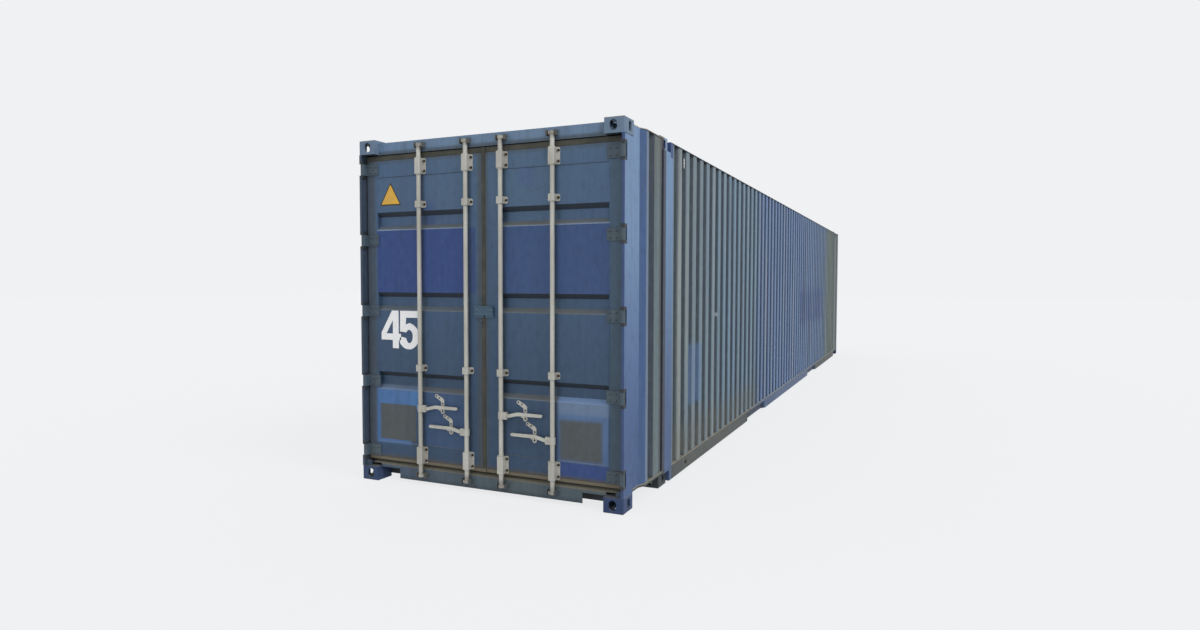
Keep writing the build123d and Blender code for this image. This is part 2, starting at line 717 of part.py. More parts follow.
def door_panel(side):
    """Pressed sheet with three horizontal grooves, set between the frame members."""
    edge, outer = leaf_edges()
    face, back = station(DOOR_END, DOOR_DEPTH), station(DOOR_END, DOOR_DEPTH + GROOVE_DEPTH)
    line = [(LEAF_TOP - TOP_FRAME, face)]
    for top in GROOVE_TOPS:
        bottom = top - GROOVE_HIGH
        line += [(top, face), (top - GROOVE_SLOPE, back), (bottom + GROOVE_SLOPE, back), (bottom, face)]
    line.append((LEAF_BOTTOM + BOTTOM_FRAME, face))
    points = [(x, z) for z, x in line] + [(x + 2 * SHEET, z) for z, x in reversed(line)]
    widths = sorted((side * (edge + INNER_STILE), side * (outer - OUTER_STILE)))
    return across(points, *widths)


def door_gasket(side):
    """The rubber seal round the leaf."""
    edge, outer = leaf_edges()
    depths = (DOOR_DEPTH + SEAL_SET, DOOR_DEPTH + SEAL_SET + SEAL_DEEP)
    ring = corner_slab(DOOR_END, side, depths, (edge - SEAL_LIP, outer + SEAL_THICK),
                       (FLOOR_TOP + SEAL_CLEAR, HEADER_BOTTOM - SEAL_CLEAR))
    return ring - corner_slab(DOOR_END, side, (0, 2 * DOOR_DEPTH), (edge, outer), (LEAF_BOTTOM, LEAF_TOP))


# Hinges

def hinge_lugs(side):
    """Two lugs and a pin at each hinge, set in the notch of the post."""
    lugs = []
    half = HINGE_HIGH / 2
    for z in HINGE_HEIGHTS:
        pin = Pos(station(DOOR_END, PIN_DEPTH), side * PIN_Y, z) * Cylinder(
            PIN_RADIUS, HINGE_HIGH + 2 * CLOSE + 2 * LUG_HIGH)
        for low in (z - half - CLOSE - LUG_HIGH, z + half + CLOSE):
            pin += corner_slab(DOOR_END, side, (0, LUG_DEEP), (PIN_Y - LUG_INNER, CASTING_FACE),
                               (low, low + LUG_HIGH))
        lugs.append(pin)
    return lugs


def hinge_blades(side):
    """A knuckle round the pin and a flat blade on the stile."""
    blades = []
    x, y = station(DOOR_END, PIN_DEPTH), side * PIN_Y
    face, tip = DOOR_DEPTH - HINGE_PLATE, PIN_Y - HINGE_REACH
    plan = [(PIN_DEPTH, PIN_Y), (PIN_DEPTH, PIN_Y - KNUCKLE_RADIUS), (face, PIN_Y - CRANK_INSET),
            (face, tip), (DOOR_DEPTH, tip), (DOOR_DEPTH, PIN_Y - STILE_EDGE),
            (PIN_DEPTH + KNUCKLE_RADIUS, PIN_Y)]
    for z in HINGE_HEIGHTS:
        knuckle = Pos(x, y, z) * Cylinder(KNUCKLE_RADIUS, HINGE_HIGH)
        crank = corner_prism(DOOR_END, side, plan, z - HINGE_HIGH / 2, z + HINGE_HIGH / 2)
        bore = Pos(x, y, z) * Cylinder(PIN_RADIUS + CLOSE, HINGE_HIGH + 2)
        blades.append(knuckle + crank - bore)
    return blades


# Locking gear

BARS = {
    "a": (LEFT, OUTER_BAR, -1, UPPER_HANDLE, UPPER_RETAINER),
    "b": (LEFT, INNER_BAR, 1, LOWER_HANDLE, LOWER_RETAINER),
    "c": (RIGHT, INNER_BAR, -1, UPPER_HANDLE, UPPER_RETAINER),
    "d": (RIGHT, OUTER_BAR, 1, LOWER_HANDLE, LOWER_RETAINER),
}


def cam(x, y, toward, z):
    """A bar end: a round boss with a blunt hook on the handle's side."""
    boss = Pos(x, y, z) * Cylinder(CAM_RADIUS, CAM_HIGH)
    tip = y + toward * (HOOK_REACH - HOOK_THICK / 2)
    hook = slab((x - HOOK_THICK / 2, x + HOOK_THICK / 2), (y, tip), (z - CAM_HIGH / 2, z + CAM_HIGH / 2))
    return boss + hook + Pos(x, tip, z) * Cylinder(HOOK_THICK / 2, CAM_HIGH)


def locking_bar(side, offset, toward, handle_z):
    x, y = station(DOOR_END, BAR_DEPTH), side * offset
    bar = Pos(x, y, (CAM_TOP + CAM_BOTTOM) / 2) * Cylinder(BAR_RADIUS, CAM_TOP - CAM_BOTTOM)
    bar += cam(x, y, toward, CAM_TOP) + cam(x, y, toward, CAM_BOTTOM)
    for low, high in (TOP_GUIDE, LAST_GUIDE):
        for level in (low - CLOSE - COLLAR_HIGH / 2, high + CLOSE + COLLAR_HIGH / 2):
            bar += Pos(x, y, level) * Cylinder(COLLAR_RADIUS, COLLAR_HIGH)
    bar += Pos(x, y, handle_z) * Cylinder(HUB_RADIUS, HUB_HIGH)
    near = HANDLE_THICK / 2 + CLOSE
    pin_y = y + toward * HANDLE_OFFSET
    cheek_end = pin_y + toward * HANDLE_HIGH / 2
    for sign in (-1, 1):
        bar += slab((x + sign * near, x + sign * (near + HUB_PLATE)), (y, cheek_end),
                    (handle_z - HUB_HIGH / 2, handle_z + HUB_HIGH / 2))
    bar += pin_along_x(HANDLE_PIN, x - near - HUB_PLATE, x + near + HUB_PLATE, pin_y, handle_z)
    return bar


def handle(side, offset, toward, handle_z):
    """A flat lever with its eye on the hub's pin, cranked up a little on its way to the grip."""
    x = station(DOOR_END, BAR_DEPTH)
    y = side * offset + toward * HANDLE_OFFSET
    x0, x1 = x - HANDLE_THICK / 2, x + HANDLE_THICK / 2
    eye = HANDLE_HIGH / 2
    line = [(0, 0, eye), (CRANK_START, 0, eye), (CRANK_START + CRANK_LONG, CRANK_RISE, eye),
            (HANDLE_LONG, CRANK_RISE, GRIP_RADIUS)]
    edge = [(u, v - half) for u, v, half in line] + [(u, v + half) for u, v, half in reversed(line)]
    lever = along([(y + toward * u, handle_z + v) for u, v in edge], x0, x1)
    lever += pin_along_x(eye, x0, x1, y, handle_z)
    lever += pin_along_x(GRIP_RADIUS, x0, x1, y + toward * HANDLE_LONG, handle_z + CRANK_RISE)
    return lever - pin_along_x(HANDLE_PIN + CLOSE, x0 - 1, x1 + 1, y, handle_z)


def guide(y, limits):
    """A saddle box round the bar, with a flange against the leaf on each side."""
    z0, z1 = limits
    middle = (z0 + z1) / 2
    x, door = station(DOOR_END, BAR_DEPTH), station(DOOR_END, DOOR_DEPTH)
    saddle = slab((station(DOOR_END, GUIDE_FRONT), door), (y - GUIDE_HALF, y + GUIDE_HALF), limits)
    front_edges = [edge for edge in saddle.edges().filter_by(Axis.Z) if edge.center().X < x]
    saddle = fillet(front_edges, GUIDE_ROUND)
    flange = Plane.YZ.offset(door - FLANGE_THICK) * Pos(y, middle) * RectangleRounded(
        2 * FLANGE_REACH, z1 - z0, FLANGE_CORNER)
    saddle += extrude(flange, amount=FLANGE_THICK, dir=(1, 0, 0))
    return saddle - Pos(x, y, middle) * Cylinder(BAR_RADIUS + CLOSE, z1 - z0 + 2)


def bar_brackets(side):
    """Guides at the top and foot of each bar, and short ones above the first and last groove."""
    mid_bottoms = [top + MID_GUIDE_LIFT for top in (GROOVE_TOPS[0], GROOVE_TOPS[-1])]
    pieces = []
    for y in (side * OUTER_BAR, side * INNER_BAR):
        pieces += [guide(y, limits) for limits in (TOP_GUIDE, LAST_GUIDE)]
        pieces += [guide(y, (low, low + MID_GUIDE_HIGH)) for low in mid_bottoms]
    return pieces


def keepers():
    """Two cheeks on a thin plate beside each cam, on the header and on the sill."""
    x, face = station(DOOR_END, BAR_DEPTH), station(DOOR_END, HEADER_DEPTH)
    pieces = []
    for side, offset, toward, _, _ in BARS.values():
        y = side * offset
        far = y + toward * (HOOK_REACH + CAM_CLEAR)
        near = y - toward * (CAM_RADIUS + CAM_CLEAR)
        for z in (CAM_TOP, CAM_BOTTOM):
            limits = (z - KEEPER_HIGH / 2, z + KEEPER_HIGH / 2)
            keeper = slab((face - KEEPER_PLATE, face), (near, far), limits)
            for inner, sign in ((far, toward), (near, -toward)):
                keeper += slab((station(DOOR_END, KEEPER_FRONT), face),
                               (inner, inner + sign * KEEPER_CHEEK), limits)
            pieces.append(keeper)
    return pieces


def handle_retainer(side, offset, toward, handle_z, distance):
    """A strap on the leaf with a ring below, a bent arm above and a ledge under the lever."""
    door = station(DOOR_END, DOOR_DEPTH)
    y = side * offset + toward * (HANDLE_OFFSET + distance)
    z = handle_z + CRANK_RISE
    half = RETAINER_WIDE / 2
    strap = [(-half, -RETAINER_DROP), (half, -RETAINER_DROP), (half, RETAINER_KNEE - half),
             (ARM_REACH, ARM_TOP - half), (ARM_REACH, ARM_TOP + half), (0, RETAINER_KNEE + half),
             (-half, RETAINER_KNEE)]
    plate = along([(y + u, z + v) for u, v in strap], door - RETAINER_PLATE, door)
    for radius, u, v in ((RETAINER_RING, 0, -RETAINER_DROP), (half, ARM_REACH, ARM_TOP)):
        plate += pin_along_x(radius, door - RETAINER_PLATE, door, y + u, z + v)
    for u, v in ((0, -RETAINER_DROP), (0, RETAINER_KNEE - RETAINER_WIDE),
                 (ARM_REACH / 2, (RETAINER_KNEE + ARM_TOP) / 2), (ARM_REACH, ARM_TOP)):
        plate -= pin_along_x(RETAINER_HOLE, door - RETAINER_PLATE - 1, door + 1, y + u, z + v)
    seat = z - HANDLE_HIGH / 2 - CLOSE
    ledge = slab((station(DOOR_END, BAR_DEPTH - HANDLE_THICK), door), (y - half, y + half),
                 (seat - RETAINER_PLATE, seat))
    return plate + ledge


def lock_plate(side):
    """One half of the lock bracket over the gap between the leaves."""
    door = station(DOOR_END, DOOR_DEPTH)
    return slab((door - LOCK_PLATE_THICK, door), (side * LEAF_GAP, side * (LEAF_GAP + LOCK_PLATE_WIDE)),
                (LOCK_PLATE_BOTTOM, LOCK_PLATE_BOTTOM + LOCK_PLATE_HIGH))


def lock_ears():
    """The two pierced ears on the left leaf, above and below the lock bracket."""
    door = station(DOOR_END, DOOR_DEPTH)
    return [pin_along_x(EAR_RADIUS, door - RETAINER_PLATE, door, EAR_PLACE, z)
            - pin_along_x(RETAINER_HOLE, door - RETAINER_PLATE - 1, door + 1, EAR_PLACE, z)
            for z in EAR_HEIGHTS]


def nodes():
    """Every sub-part by its name, as a list of solids."""
    parts = {
        "door_header": [door_header()],
        "door_sill": [door_sill()],
        "front_top_rail": [front_top_rail()],
        "front_bottom_rail": [front_bottom_rail()],
        "front_wall": [front_wall()],
        "roof": [roof()],
        "floor": [floor()],
        "cross_members": cross_members(),
        "end_stringers": end_stringers(),
        "gooseneck_tunnel": [gooseneck_tunnel()],
        "cam_keepers": keepers(),
        "side_vents": [side_vent(DOOR_END, RIGHT), side_vent(FRONT_END, LEFT)],
    }
    for name, side in (("left", LEFT), ("right", RIGHT)):
        gear = [bar for bar in BARS.values() if bar[0] == side]
        parts |= {
            f"door_castings_{name}": end_castings(DOOR_END, side),
            f"front_castings_{name}": end_castings(FRONT_END, side),
            f"forty_foot_castings_{name}": forty_foot_castings(side),
            f"door_post_{name}": [door_post(side)],
            f"front_post_{name}": [front_post(side)],
            f"forty_foot_posts_{name}": [forty_foot_post(end, side) for end in (DOOR_END, FRONT_END)],
            f"bottom_side_rail_{name}": [bottom_side_rail(side)],
            f"top_side_rail_{name}": [top_side_rail(side)],
            f"end_bay_rails_{name}": end_bay_rails(side),
            f"side_wall_{name}": [side_wall(side)],
            f"end_bay_panels_{name}": [end_bay_panel(end, side) for end in (DOOR_END, FRONT_END)],
            f"hinge_lugs_{name}": hinge_lugs(side),
            f"hinge_blades_{name}": hinge_blades(side),
            f"door_frame_{name}": [door_frame(side)],
            f"door_panel_{name}": [door_panel(side)],
            f"door_gasket_{name}": [door_gasket(side)],
            f"bar_brackets_{name}": bar_brackets(side),
            f"handle_retainers_{name}": [handle_retainer(*bar) for bar in gear],
            f"centre_bracket_{name}": [lock_plate(side)] + (lock_ears() if side == LEFT else []),
        }
    for letter, bar in BARS.items():
        parts[f"locking_bar_{letter}"] = [locking_bar(*bar[:4])]
        parts[f"handle_{letter}"] = [handle(*bar[:4])]
    return parts


os.makedirs("parts", exist_ok=True)
for node, solids in nodes().items():
    shape = solids[0] if len(solids) == 1 else Compound(solids)
    export_step(shape, f"parts/{node}.step")
    print(node, len(solids))
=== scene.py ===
# %% [markdown]
# A long steel freight container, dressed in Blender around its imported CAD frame.
# The frame gives every sheet, post, hinge and bar at its true place, so this lesson adds only what
# a drawing office leaves out: paint that has faded, dust on the ledges, rubber seals, bolts, welds
# and the plain marks on the doors. All lengths are in metres, in the same axes as the frame:
# X runs from the doors to the closed end, Y across, Z up.

# %% Load the frame
import math
import random

import bmesh
import bpy
from mathutils import Matrix, Vector


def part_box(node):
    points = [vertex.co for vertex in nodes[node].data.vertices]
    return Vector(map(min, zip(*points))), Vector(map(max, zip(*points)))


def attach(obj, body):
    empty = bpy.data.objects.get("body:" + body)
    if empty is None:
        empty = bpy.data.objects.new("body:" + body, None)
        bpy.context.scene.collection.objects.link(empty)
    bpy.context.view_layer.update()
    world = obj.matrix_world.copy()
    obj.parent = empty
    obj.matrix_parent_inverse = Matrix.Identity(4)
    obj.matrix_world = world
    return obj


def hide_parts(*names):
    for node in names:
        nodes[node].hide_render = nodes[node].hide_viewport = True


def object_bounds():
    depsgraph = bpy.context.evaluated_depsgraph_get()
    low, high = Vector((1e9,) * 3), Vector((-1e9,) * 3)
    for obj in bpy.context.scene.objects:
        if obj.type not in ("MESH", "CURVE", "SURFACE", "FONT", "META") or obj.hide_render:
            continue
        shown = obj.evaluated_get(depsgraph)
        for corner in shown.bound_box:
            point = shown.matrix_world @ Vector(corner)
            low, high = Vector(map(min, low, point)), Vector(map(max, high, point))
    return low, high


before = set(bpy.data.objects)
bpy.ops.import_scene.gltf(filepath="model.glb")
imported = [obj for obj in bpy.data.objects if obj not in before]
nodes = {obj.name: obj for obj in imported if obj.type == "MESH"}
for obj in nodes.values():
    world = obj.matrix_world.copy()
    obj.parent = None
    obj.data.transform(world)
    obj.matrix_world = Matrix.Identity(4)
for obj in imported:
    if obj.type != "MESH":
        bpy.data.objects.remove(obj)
cad_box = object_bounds()
BOX_END, TOP = abs(cad_box[0].x), cad_box[1].z
LEAVES = {"left": 1, "right": -1}
PANEL_LOW, PANEL_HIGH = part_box("door_panel_left")
DOOR_FACE, PANEL_NEAR, PANEL_FAR = PANEL_LOW.x, PANEL_LOW.y, PANEL_HIGH.y
print(len(nodes), "nodes; the doors' face is at x =", round(DOOR_FACE, 3))

# %% [markdown]
# Paint on an old container is never one colour, so every finish here is a small sum of masks and
# tints. Writing such sums as wires between nodes is slow to read. The class below wraps one output
# socket and overloads arithmetic, so that an expression such as 1 - mask adds the Math nodes by
# itself. Everything else comes from one method that makes any node from its type, its settings
# and what its sockets are fed. Colours are written as on a paint chart, as three numbers from 0 to
# 255, and turned into a shader's linear ones where they are used.

# %% A socket that can be reckoned with
class Value:
    def __init__(self, recipe, socket):
        self.recipe, self.socket = recipe, socket

    def reckon(self, operation, *terms):
        return self.recipe.node("ShaderNodeMath", {"operation": operation}, dict(enumerate(terms)))

    def __add__(self, other):
        return self.reckon("ADD", self, other)

    def __sub__(self, other):
        return self.reckon("SUBTRACT", self, other)

    def __rsub__(self, other):
        return self.reckon("SUBTRACT", other, self)

    def __mul__(self, other):
        return self.reckon("MULTIPLY", self, other)

    def __abs__(self):
        return self.reckon("ABSOLUTE", self)

    __radd__ = __add__
    __rmul__ = __mul__


# %% Colours as a paint chart gives them
def srgb(red, green, blue):
    """A linear colour from the 0 to 255 values of a paint chart."""
    def linear(value):
        value /= 255
        return value / 12.92 if value <= 0.04045 else ((value + 0.055) / 1.055) ** 2.4
    return (linear(red), linear(green), linear(blue), 1.0)


# %% A material that is built from expressions
class Recipe:
    """One material with one Principled shader; keywords set the shader's fixed values."""

    def __init__(self, name, **fixed):
        self.material = bpy.data.materials.new(name)
        self.material.use_nodes = True
        self.tree = self.material.node_tree
        self.shader = self.tree.nodes["Principled BSDF"]
        self.wear(**fixed)
        self.point = self.node("ShaderNodeTexCoord", output="Object")
        self.x, self.y, self.z = (self.part(self.point, axis) for axis in "XYZ")

    def node(self, kind, settings=None, inputs=None, output=0):
        node = self.tree.nodes.new(kind)
        for key, value in (settings or {}).items():
            setattr(node, key, value)
        for key, value in (inputs or {}).items():
            self.feed(node.inputs[key], value)
        return Value(self, node.outputs[output])

    def feed(self, socket, value):
        if isinstance(value, Value):
            self.tree.links.new(value.socket, socket)
        else:
            socket.default_value = value

    def wear(self, **surface):
        """Feeds the shader's sockets by name: base_color, roughness, normal and so on."""
        for socket, value in surface.items():
            self.feed(self.shader.inputs[socket.replace("_", " ").title()], value)
        return self.material

    def part(self, vector, axis):
        """One of a vector's three numbers, by the letter of its axis."""
        return self.node("ShaderNodeSeparateXYZ", {}, {0: vector}, axis)

    def fade(self, value, low, high):
        """A soft step: 0 where the value is under low, 1 where it is over high."""
        return self.node("ShaderNodeMapRange", {"interpolation_type": "SMOOTHSTEP"},
                         {"Value": value, "From Min": low, "From Max": high})

    def between(self, value, low, high, soft):
        """1 where the value lies between low and high, with soft edges."""
        return self.fade(value, low - soft, low + soft) * (1 - self.fade(value, high - soft, high + soft))

    def noise(self, scale, stretch=(1, 1, 1), detail=3.0, rough=0.55):
        where = self.node("ShaderNodeVectorMath", {"operation": "MULTIPLY"}, {0: self.point, 1: stretch})
        return self.node("ShaderNodeTexNoise", {"noise_dimensions": "3D"},
                         {"Vector": where, "Scale": scale, "Detail": detail, "Roughness": rough})

    def tint(self, mask, under, over):
        """The colour under where the mask is 0, and over where it is 1."""
        under, over = (srgb(*shade) if isinstance(shade, tuple) else shade for shade in (under, over))
        return self.node("ShaderNodeMix", {"data_type": "RGBA"}, {0: mask, 6: under, 7: over}, 2)

    def coats(self, colour, *coats):
        """A colour under coats that are laid on in turn, each given as its mask and its shade."""
        for mask, shade in coats:
            colour = self.tint(mask, colour, shade)
        return colour

    def bump(self, height, distance, strength=1.0):
        return self.node("ShaderNodeBump", {},
                         {"Height": height, "Distance": distance, "Strength": strength})

    def facing(self, axis):
        """How far a face looks along an axis of its own piece, from -1 to 1."""
        return self.part(self.node("ShaderNodeTexCoord", output="Normal"), axis)


# %% [markdown]
# Inside, the walls, the roof and the backs of the doors have one plain pale paint. A sheet of the
# frame is a single mesh with an outer and an inner face, so its material has to tell them apart.
# The place would do it for a flat wall, but along the folds the faces are too close together. The
# way a face looks tells it at once. It is read in the piece's own axes, so it also holds when a
# door is open.

# %% The paint of the hold
def inner_paint(paint):
    """The plain pale grey of the hold, with scuffs that lie along the floor."""
    scuffs = paint.fade(paint.noise(3.0, (0.5, 1, 9), 3.0), 0.60, 0.74)
    clean = paint.tint(paint.fade(paint.z, 2.4, 0.6), (150, 156, 156), (128, 132, 130))
    return paint.tint(paint.fade(paint.z, 1.7, 0.5) * scuffs, clean, (92, 94, 90))


def towards_centre(paint):
    """1 on faces that look at the plane through the middle of the box."""
    return paint.fade(paint.facing("Y") * paint.y, -0.1, -0.4)


def looking(axis, way):
    """A mask of the faces that look along an axis, or against it when way is -1."""
    return lambda paint: paint.fade(paint.facing(axis) * way, 0.4, 0.8)


# %% [markdown]
# All the blue steel shares one kind of ageing. Large cloudy patches where the sun has bleached the
# paint, thin runs that rain has drawn downwards, pale dust on every face that looks up, a painted
# shade in the grime's colour on every face that looks down, and a scatter of rust pinholes. One
# function makes that finish, and each group of pieces asks for it in its own shade, with marks of its
# own where it has them.

# %% The weathered paint
def aged(name, clean, faded, dust=(112, 110, 98), grime_and_shade=(28, 36, 44), rust=0.3, roughness=0.5,
         rain=(112, 128, 146), streaks=0.24, marks=None, hold=None):
    """Paint from a clean and a faded shade; marks go over it, and hold picks the inner faces.

    The dust is a colour, or a function that mixes one from the place.
    """
    paint = Recipe(name, metallic=0.0)
    clouds = paint.fade(paint.noise(0.9, (1, 1, 0.7), 4.0), 0.36, 0.66)
    runs = paint.noise(9.0, (1, 1, 0.05), 2.0)
    drips = paint.noise(34.0, (1, 1, 0.03), 2.0)
    mottle = paint.noise(21.0, (1, 1, 0.6), 4.0)
    speckle = paint.noise(55.0, (1, 1, 1), 2.0)
    colour = paint.tint(clouds, clean, faded)
    if marks:
        colour = marks(paint, colour)
    up = paint.facing("Z")
    settled = dust(paint) if callable(dust) else dust
    # The last coat is a painted shade: every face that looks down gets the grime's colour.
    colour = paint.coats(colour,
                         (paint.fade(runs, 0.52, 0.8) * streaks, rain),
                         (paint.fade(runs, 0.48, 0.22) * streaks, grime_and_shade),
                         (paint.fade(drips, 0.46, 0.3) * streaks * 0.5, grime_and_shade),
                         (paint.fade(mottle, 0.5, 0.72) * 0.10, rain),
                         (paint.fade(mottle, 0.5, 0.30) * 0.14, grime_and_shade),
                         (paint.fade(up, 0.15, 0.6) * (0.55 + clouds * 0.3), settled),
                         (paint.fade(up, -0.15, -0.6) * 0.88, grime_and_shade))
    if hold:
        colour = paint.tint(hold(paint), colour, inner_paint(paint))
    pits = paint.fade(speckle + clouds * 0.08, 0.76 - rust * 0.05, 0.82)
    colour = paint.tint(pits * rust, colour, (92, 60, 44))
    height = speckle * 0.3 + mottle * 0.2 + paint.noise(2.2, (1, 1, 1), 1.0)
    print(name, "is made of", len(paint.tree.nodes), "nodes")
    return paint.wear(base_color=colour, roughness=roughness + runs * 0.18 + speckle * 0.08,
                      normal=paint.bump(height, 0.004, 0.5))


# %% [markdown]
# The doors have a history of their own. The sheet between the first and second groove keeps a clean
# royal blue, the lowest field was once repainted in a lighter blue, and each leaf has a dull grey
# rectangle there. They could be painted in an image, but a rectangle needs only its edges: its mask
# is the product of two soft bands. A table holds all of them, with the span in Y, the span in Z, the
# width of the soft edge, the strength and the colour.

# %% Marks on the doors
GROOVE_EDGES = (2.140, 1.4635, 0.787)
GROOVE_DEEP = 0.151
BAR_OFFSETS = (0.620, 0.162)
LEFT_FIELD, RIGHT_FIELD = (PANEL_NEAR, PANEL_FAR), (-PANEL_FAR, -PANEL_NEAR)
ROYAL_BAND = (GROOVE_EDGES[1] + GROOVE_DEEP, GROOVE_EDGES[0])
ROYAL, LIGHT_REPAINT = (46, 73, 132), (82, 134, 194)
BROWN_DIRT, DULL_GREY, SEAM_DARK = (72, 72, 62), (82, 88, 90), (36, 48, 60)
WHOLE_WIDTH, WHOLE_HEIGHT = (-1.200, 1.200), (0.100, 2.800)
SEAM_HEIGHT = (2.583, 2.588)
DOOR_MARKS = (
    (LEFT_FIELD, ROYAL_BAND, 0.004, 1.0, ROYAL),
    (RIGHT_FIELD, ROYAL_BAND, 0.004, 1.0, (55, 82, 128)),
    ((0.087, 0.147), ROYAL_BAND, 0.010, 0.7, (50, 72, 126)),
    ((-0.450, -0.300), (2.450, 2.590), 0.030, 0.3, (66, 86, 146)),
    ((0.495, 0.681), (2.163, 2.368), 0.030, 0.5, (56, 78, 132)),
    ((0.151, 0.630), (0.337, 0.800), 0.012, 0.7, (60, 88, 128)),
    ((0.640, 1.085), (0.640, 0.796), 0.020, 0.85, LIGHT_REPAINT),
    ((0.740, 1.112), (0.324, 0.796), 0.014, 0.9, (76, 118, 172)),
    ((0.640, 0.960), (0.560, 0.640), 0.060, 0.5, (60, 90, 132)),
    ((0.690, 1.064), (0.358, 0.663), 0.006, 1.0, DULL_GREY),
    ((-1.075, -0.645), (0.330, 0.800), 0.014, 1.0, (88, 118, 160)),
    ((-1.075, -0.645), (0.700, 0.800), 0.030, 0.6, (124, 142, 164)),
    ((-1.075, -0.645), (0.330, 0.420), 0.040, 0.5, (70, 98, 144)),
    ((-1.025, -0.665), (0.345, 0.655), 0.022, 1.0, DULL_GREY),
    ((-1.075, -0.642), (0.209, 0.326), 0.005, 1.0, (48, 74, 130)),
    ((1.100, 1.200), WHOLE_HEIGHT, 0.020, 0.75, (72, 80, 86)),
    ((-1.200, -1.085), WHOLE_HEIGHT, 0.014, 0.6, (68, 86, 96)),
    ((0.004, 0.068), WHOLE_HEIGHT, 0.022, 0.60, BROWN_DIRT),
    ((-0.030, -0.002), WHOLE_HEIGHT, 0.010, 0.5, BROWN_DIRT),
    (WHOLE_WIDTH, (2.700, 2.800), 0.016, 0.35, BROWN_DIRT),
    (WHOLE_WIDTH, (0.100, 0.226), 0.012, 0.6, (84, 76, 62)),
    (LEFT_FIELD, SEAM_HEIGHT, 0.003, 0.6, SEAM_DARK),
    (RIGHT_FIELD, SEAM_HEIGHT, 0.003, 0.5, SEAM_DARK),
    ((0.680, 1.078), (0.333, 0.340), 0.003, 0.7, (140, 158, 190)),
    ((0.151, 0.640), (0.333, 0.339), 0.003, 0.5, (106, 122, 140)),
    ((-1.078, -0.640), (0.333, 0.340), 0.003, 0.6, (130, 148, 180)),
    ((-0.640, -0.151), (0.333, 0.339), 0.003, 0.4, (100, 116, 134)),
)
print(len(DOOR_MARKS), "marks are laid on the doors")

# %% The door finish
EDGE_LINES = ((0.9, (168, 190, 216)), (0.55, (128, 138, 146)), (0.6, (142, 154, 172)))


def lay_marks(paint, colour, along, marks):
    """Lays a table's rectangles over a colour; along is the value that runs level on that wall."""
    for span, rise, soft, strength, shade in marks:
        mask = paint.between(along, *span, soft) * paint.between(paint.z, *rise, soft)
        colour = paint.tint(mask * strength, colour, shade)
    return colour


def door_marks(paint, colour):
    """The leaves: bluer below, table marks, pale groove edges and a painted shadow by each bar."""
    colour = paint.tint(paint.fade(paint.z, 0.5, 2.6), (54, 78, 105), colour)
    colour = lay_marks(paint, colour, paint.y, DOOR_MARKS)
    in_panel = paint.between(abs(paint.y), PANEL_NEAR, PANEL_FAR, 0.004)
    for edge, (strength, shade) in zip(GROOVE_EDGES, EDGE_LINES):
        line = paint.between(paint.z, edge - 0.002, edge + 0.008, 0.003) * in_panel
        colour = paint.tint(line * strength, colour, shade)
    # Beside each bar the leaf gets a painted shadow.
    for offset in BAR_OFFSETS:
        bar_shadow = paint.fade(abs(abs(paint.y) - offset), 0.048, 0.016)
        colour = paint.tint(bar_shadow * 0.45, colour, (38, 46, 54))
    return colour


def door_dust(paint):
    """Brown dust on every groove's lower slope, but for the repainted ends of the lowest one."""
    lowest = paint.between(paint.z, GROOVE_EDGES[2] - 0.077, GROOVE_EDGES[2] + 0.163, 0.010)
    ends = paint.fade(paint.y, -0.63, -0.66) + paint.fade(paint.y, 0.63, 0.66) * 0.5
    return paint.tint(lowest * ends, (96, 97, 92), (112, 140, 180))


door_paint = aged("door_paint", (72, 100, 134), (78, 106, 134), dust=door_dust, grime_and_shade=(22, 28, 36),
                  rust=0.4, rain=(92, 114, 140), streaks=0.14, marks=door_marks, hold=looking("X", 1))
door_steel_paint = aged("door_steel_paint", (64, 81, 95), (76, 90, 97), dust=(96, 98, 88), rust=0.6)
# On the lock the pale blue-grey given as dust paints a highlight on the faces that look up.
lock_paint = aged("lock_paint", (60, 86, 107), (72, 98, 117), dust=(156, 172, 182), rust=0.35)
keeper_paint = aged("keeper_paint", (72, 84, 92), (92, 92, 84), dust=(120, 116, 104), rust=1.0)
# The hinge lugs sit in shadow beside the posts; this near-black paint stands for that shade.
lug_shade_paint = aged("lug_shade_paint", (38, 46, 54), (52, 58, 60), rust=0.8)

# %% [markdown]
# The long sides fade in bands. Close to the doors the crests are a dusty grey green, the middle of
# the box is bluer, and far away the colour turns to olive grey. The slopes and valleys between the
# crests get a painted shade, much darker than the crests. They could have a material of their own,
# but the sheet is one mesh, and they lie behind the crests, so a face's distance from the centre
# plane tells which it is. Each row of the table gives where a band starts, how softly, the colour of
# its crests and the painted shade of its folds. The closed end is painted by the same rule.

# %% The side finish
CREST_FACE = 1.244
SIDE_MARKS = (
    ((0.976, 3.896), (0.987, 1.588), 0.12, 0.55, (48, 68, 120)),
    ((-5.380, -4.890), (0.578, 1.133), 0.03, 0.38, (88, 126, 172)),
    ((-4.390, -4.355), (1.360, 1.395), 0.012, 0.5, (186, 194, 196)),
    # The next row paints a highlight on the first crest past the post, as a pale upright band.
    ((-5.690, -5.610), (0.150, 2.860), 0.02, 0.45, (166, 168, 158)),
    ((-5.900, -2.400), (0.100, 0.420), 0.16, 0.40, (98, 94, 74)),
)
# Each zone: where it starts along X, how softly, its crest colour and its folds' painted shade.
SIDE_ZONES = (
    (-7.00, 0.5, (116, 132, 142), (36, 51, 62)),
    (-4.60, 0.7, (110, 136, 156), (30, 46, 62)),
    (-2.40, 0.15, (98, 128, 170), (12, 26, 70)),
    (2.60, 0.7, (96, 122, 158), (18, 32, 64)),
    (4.40, 0.6, (100, 112, 104), (46, 56, 54)),
)


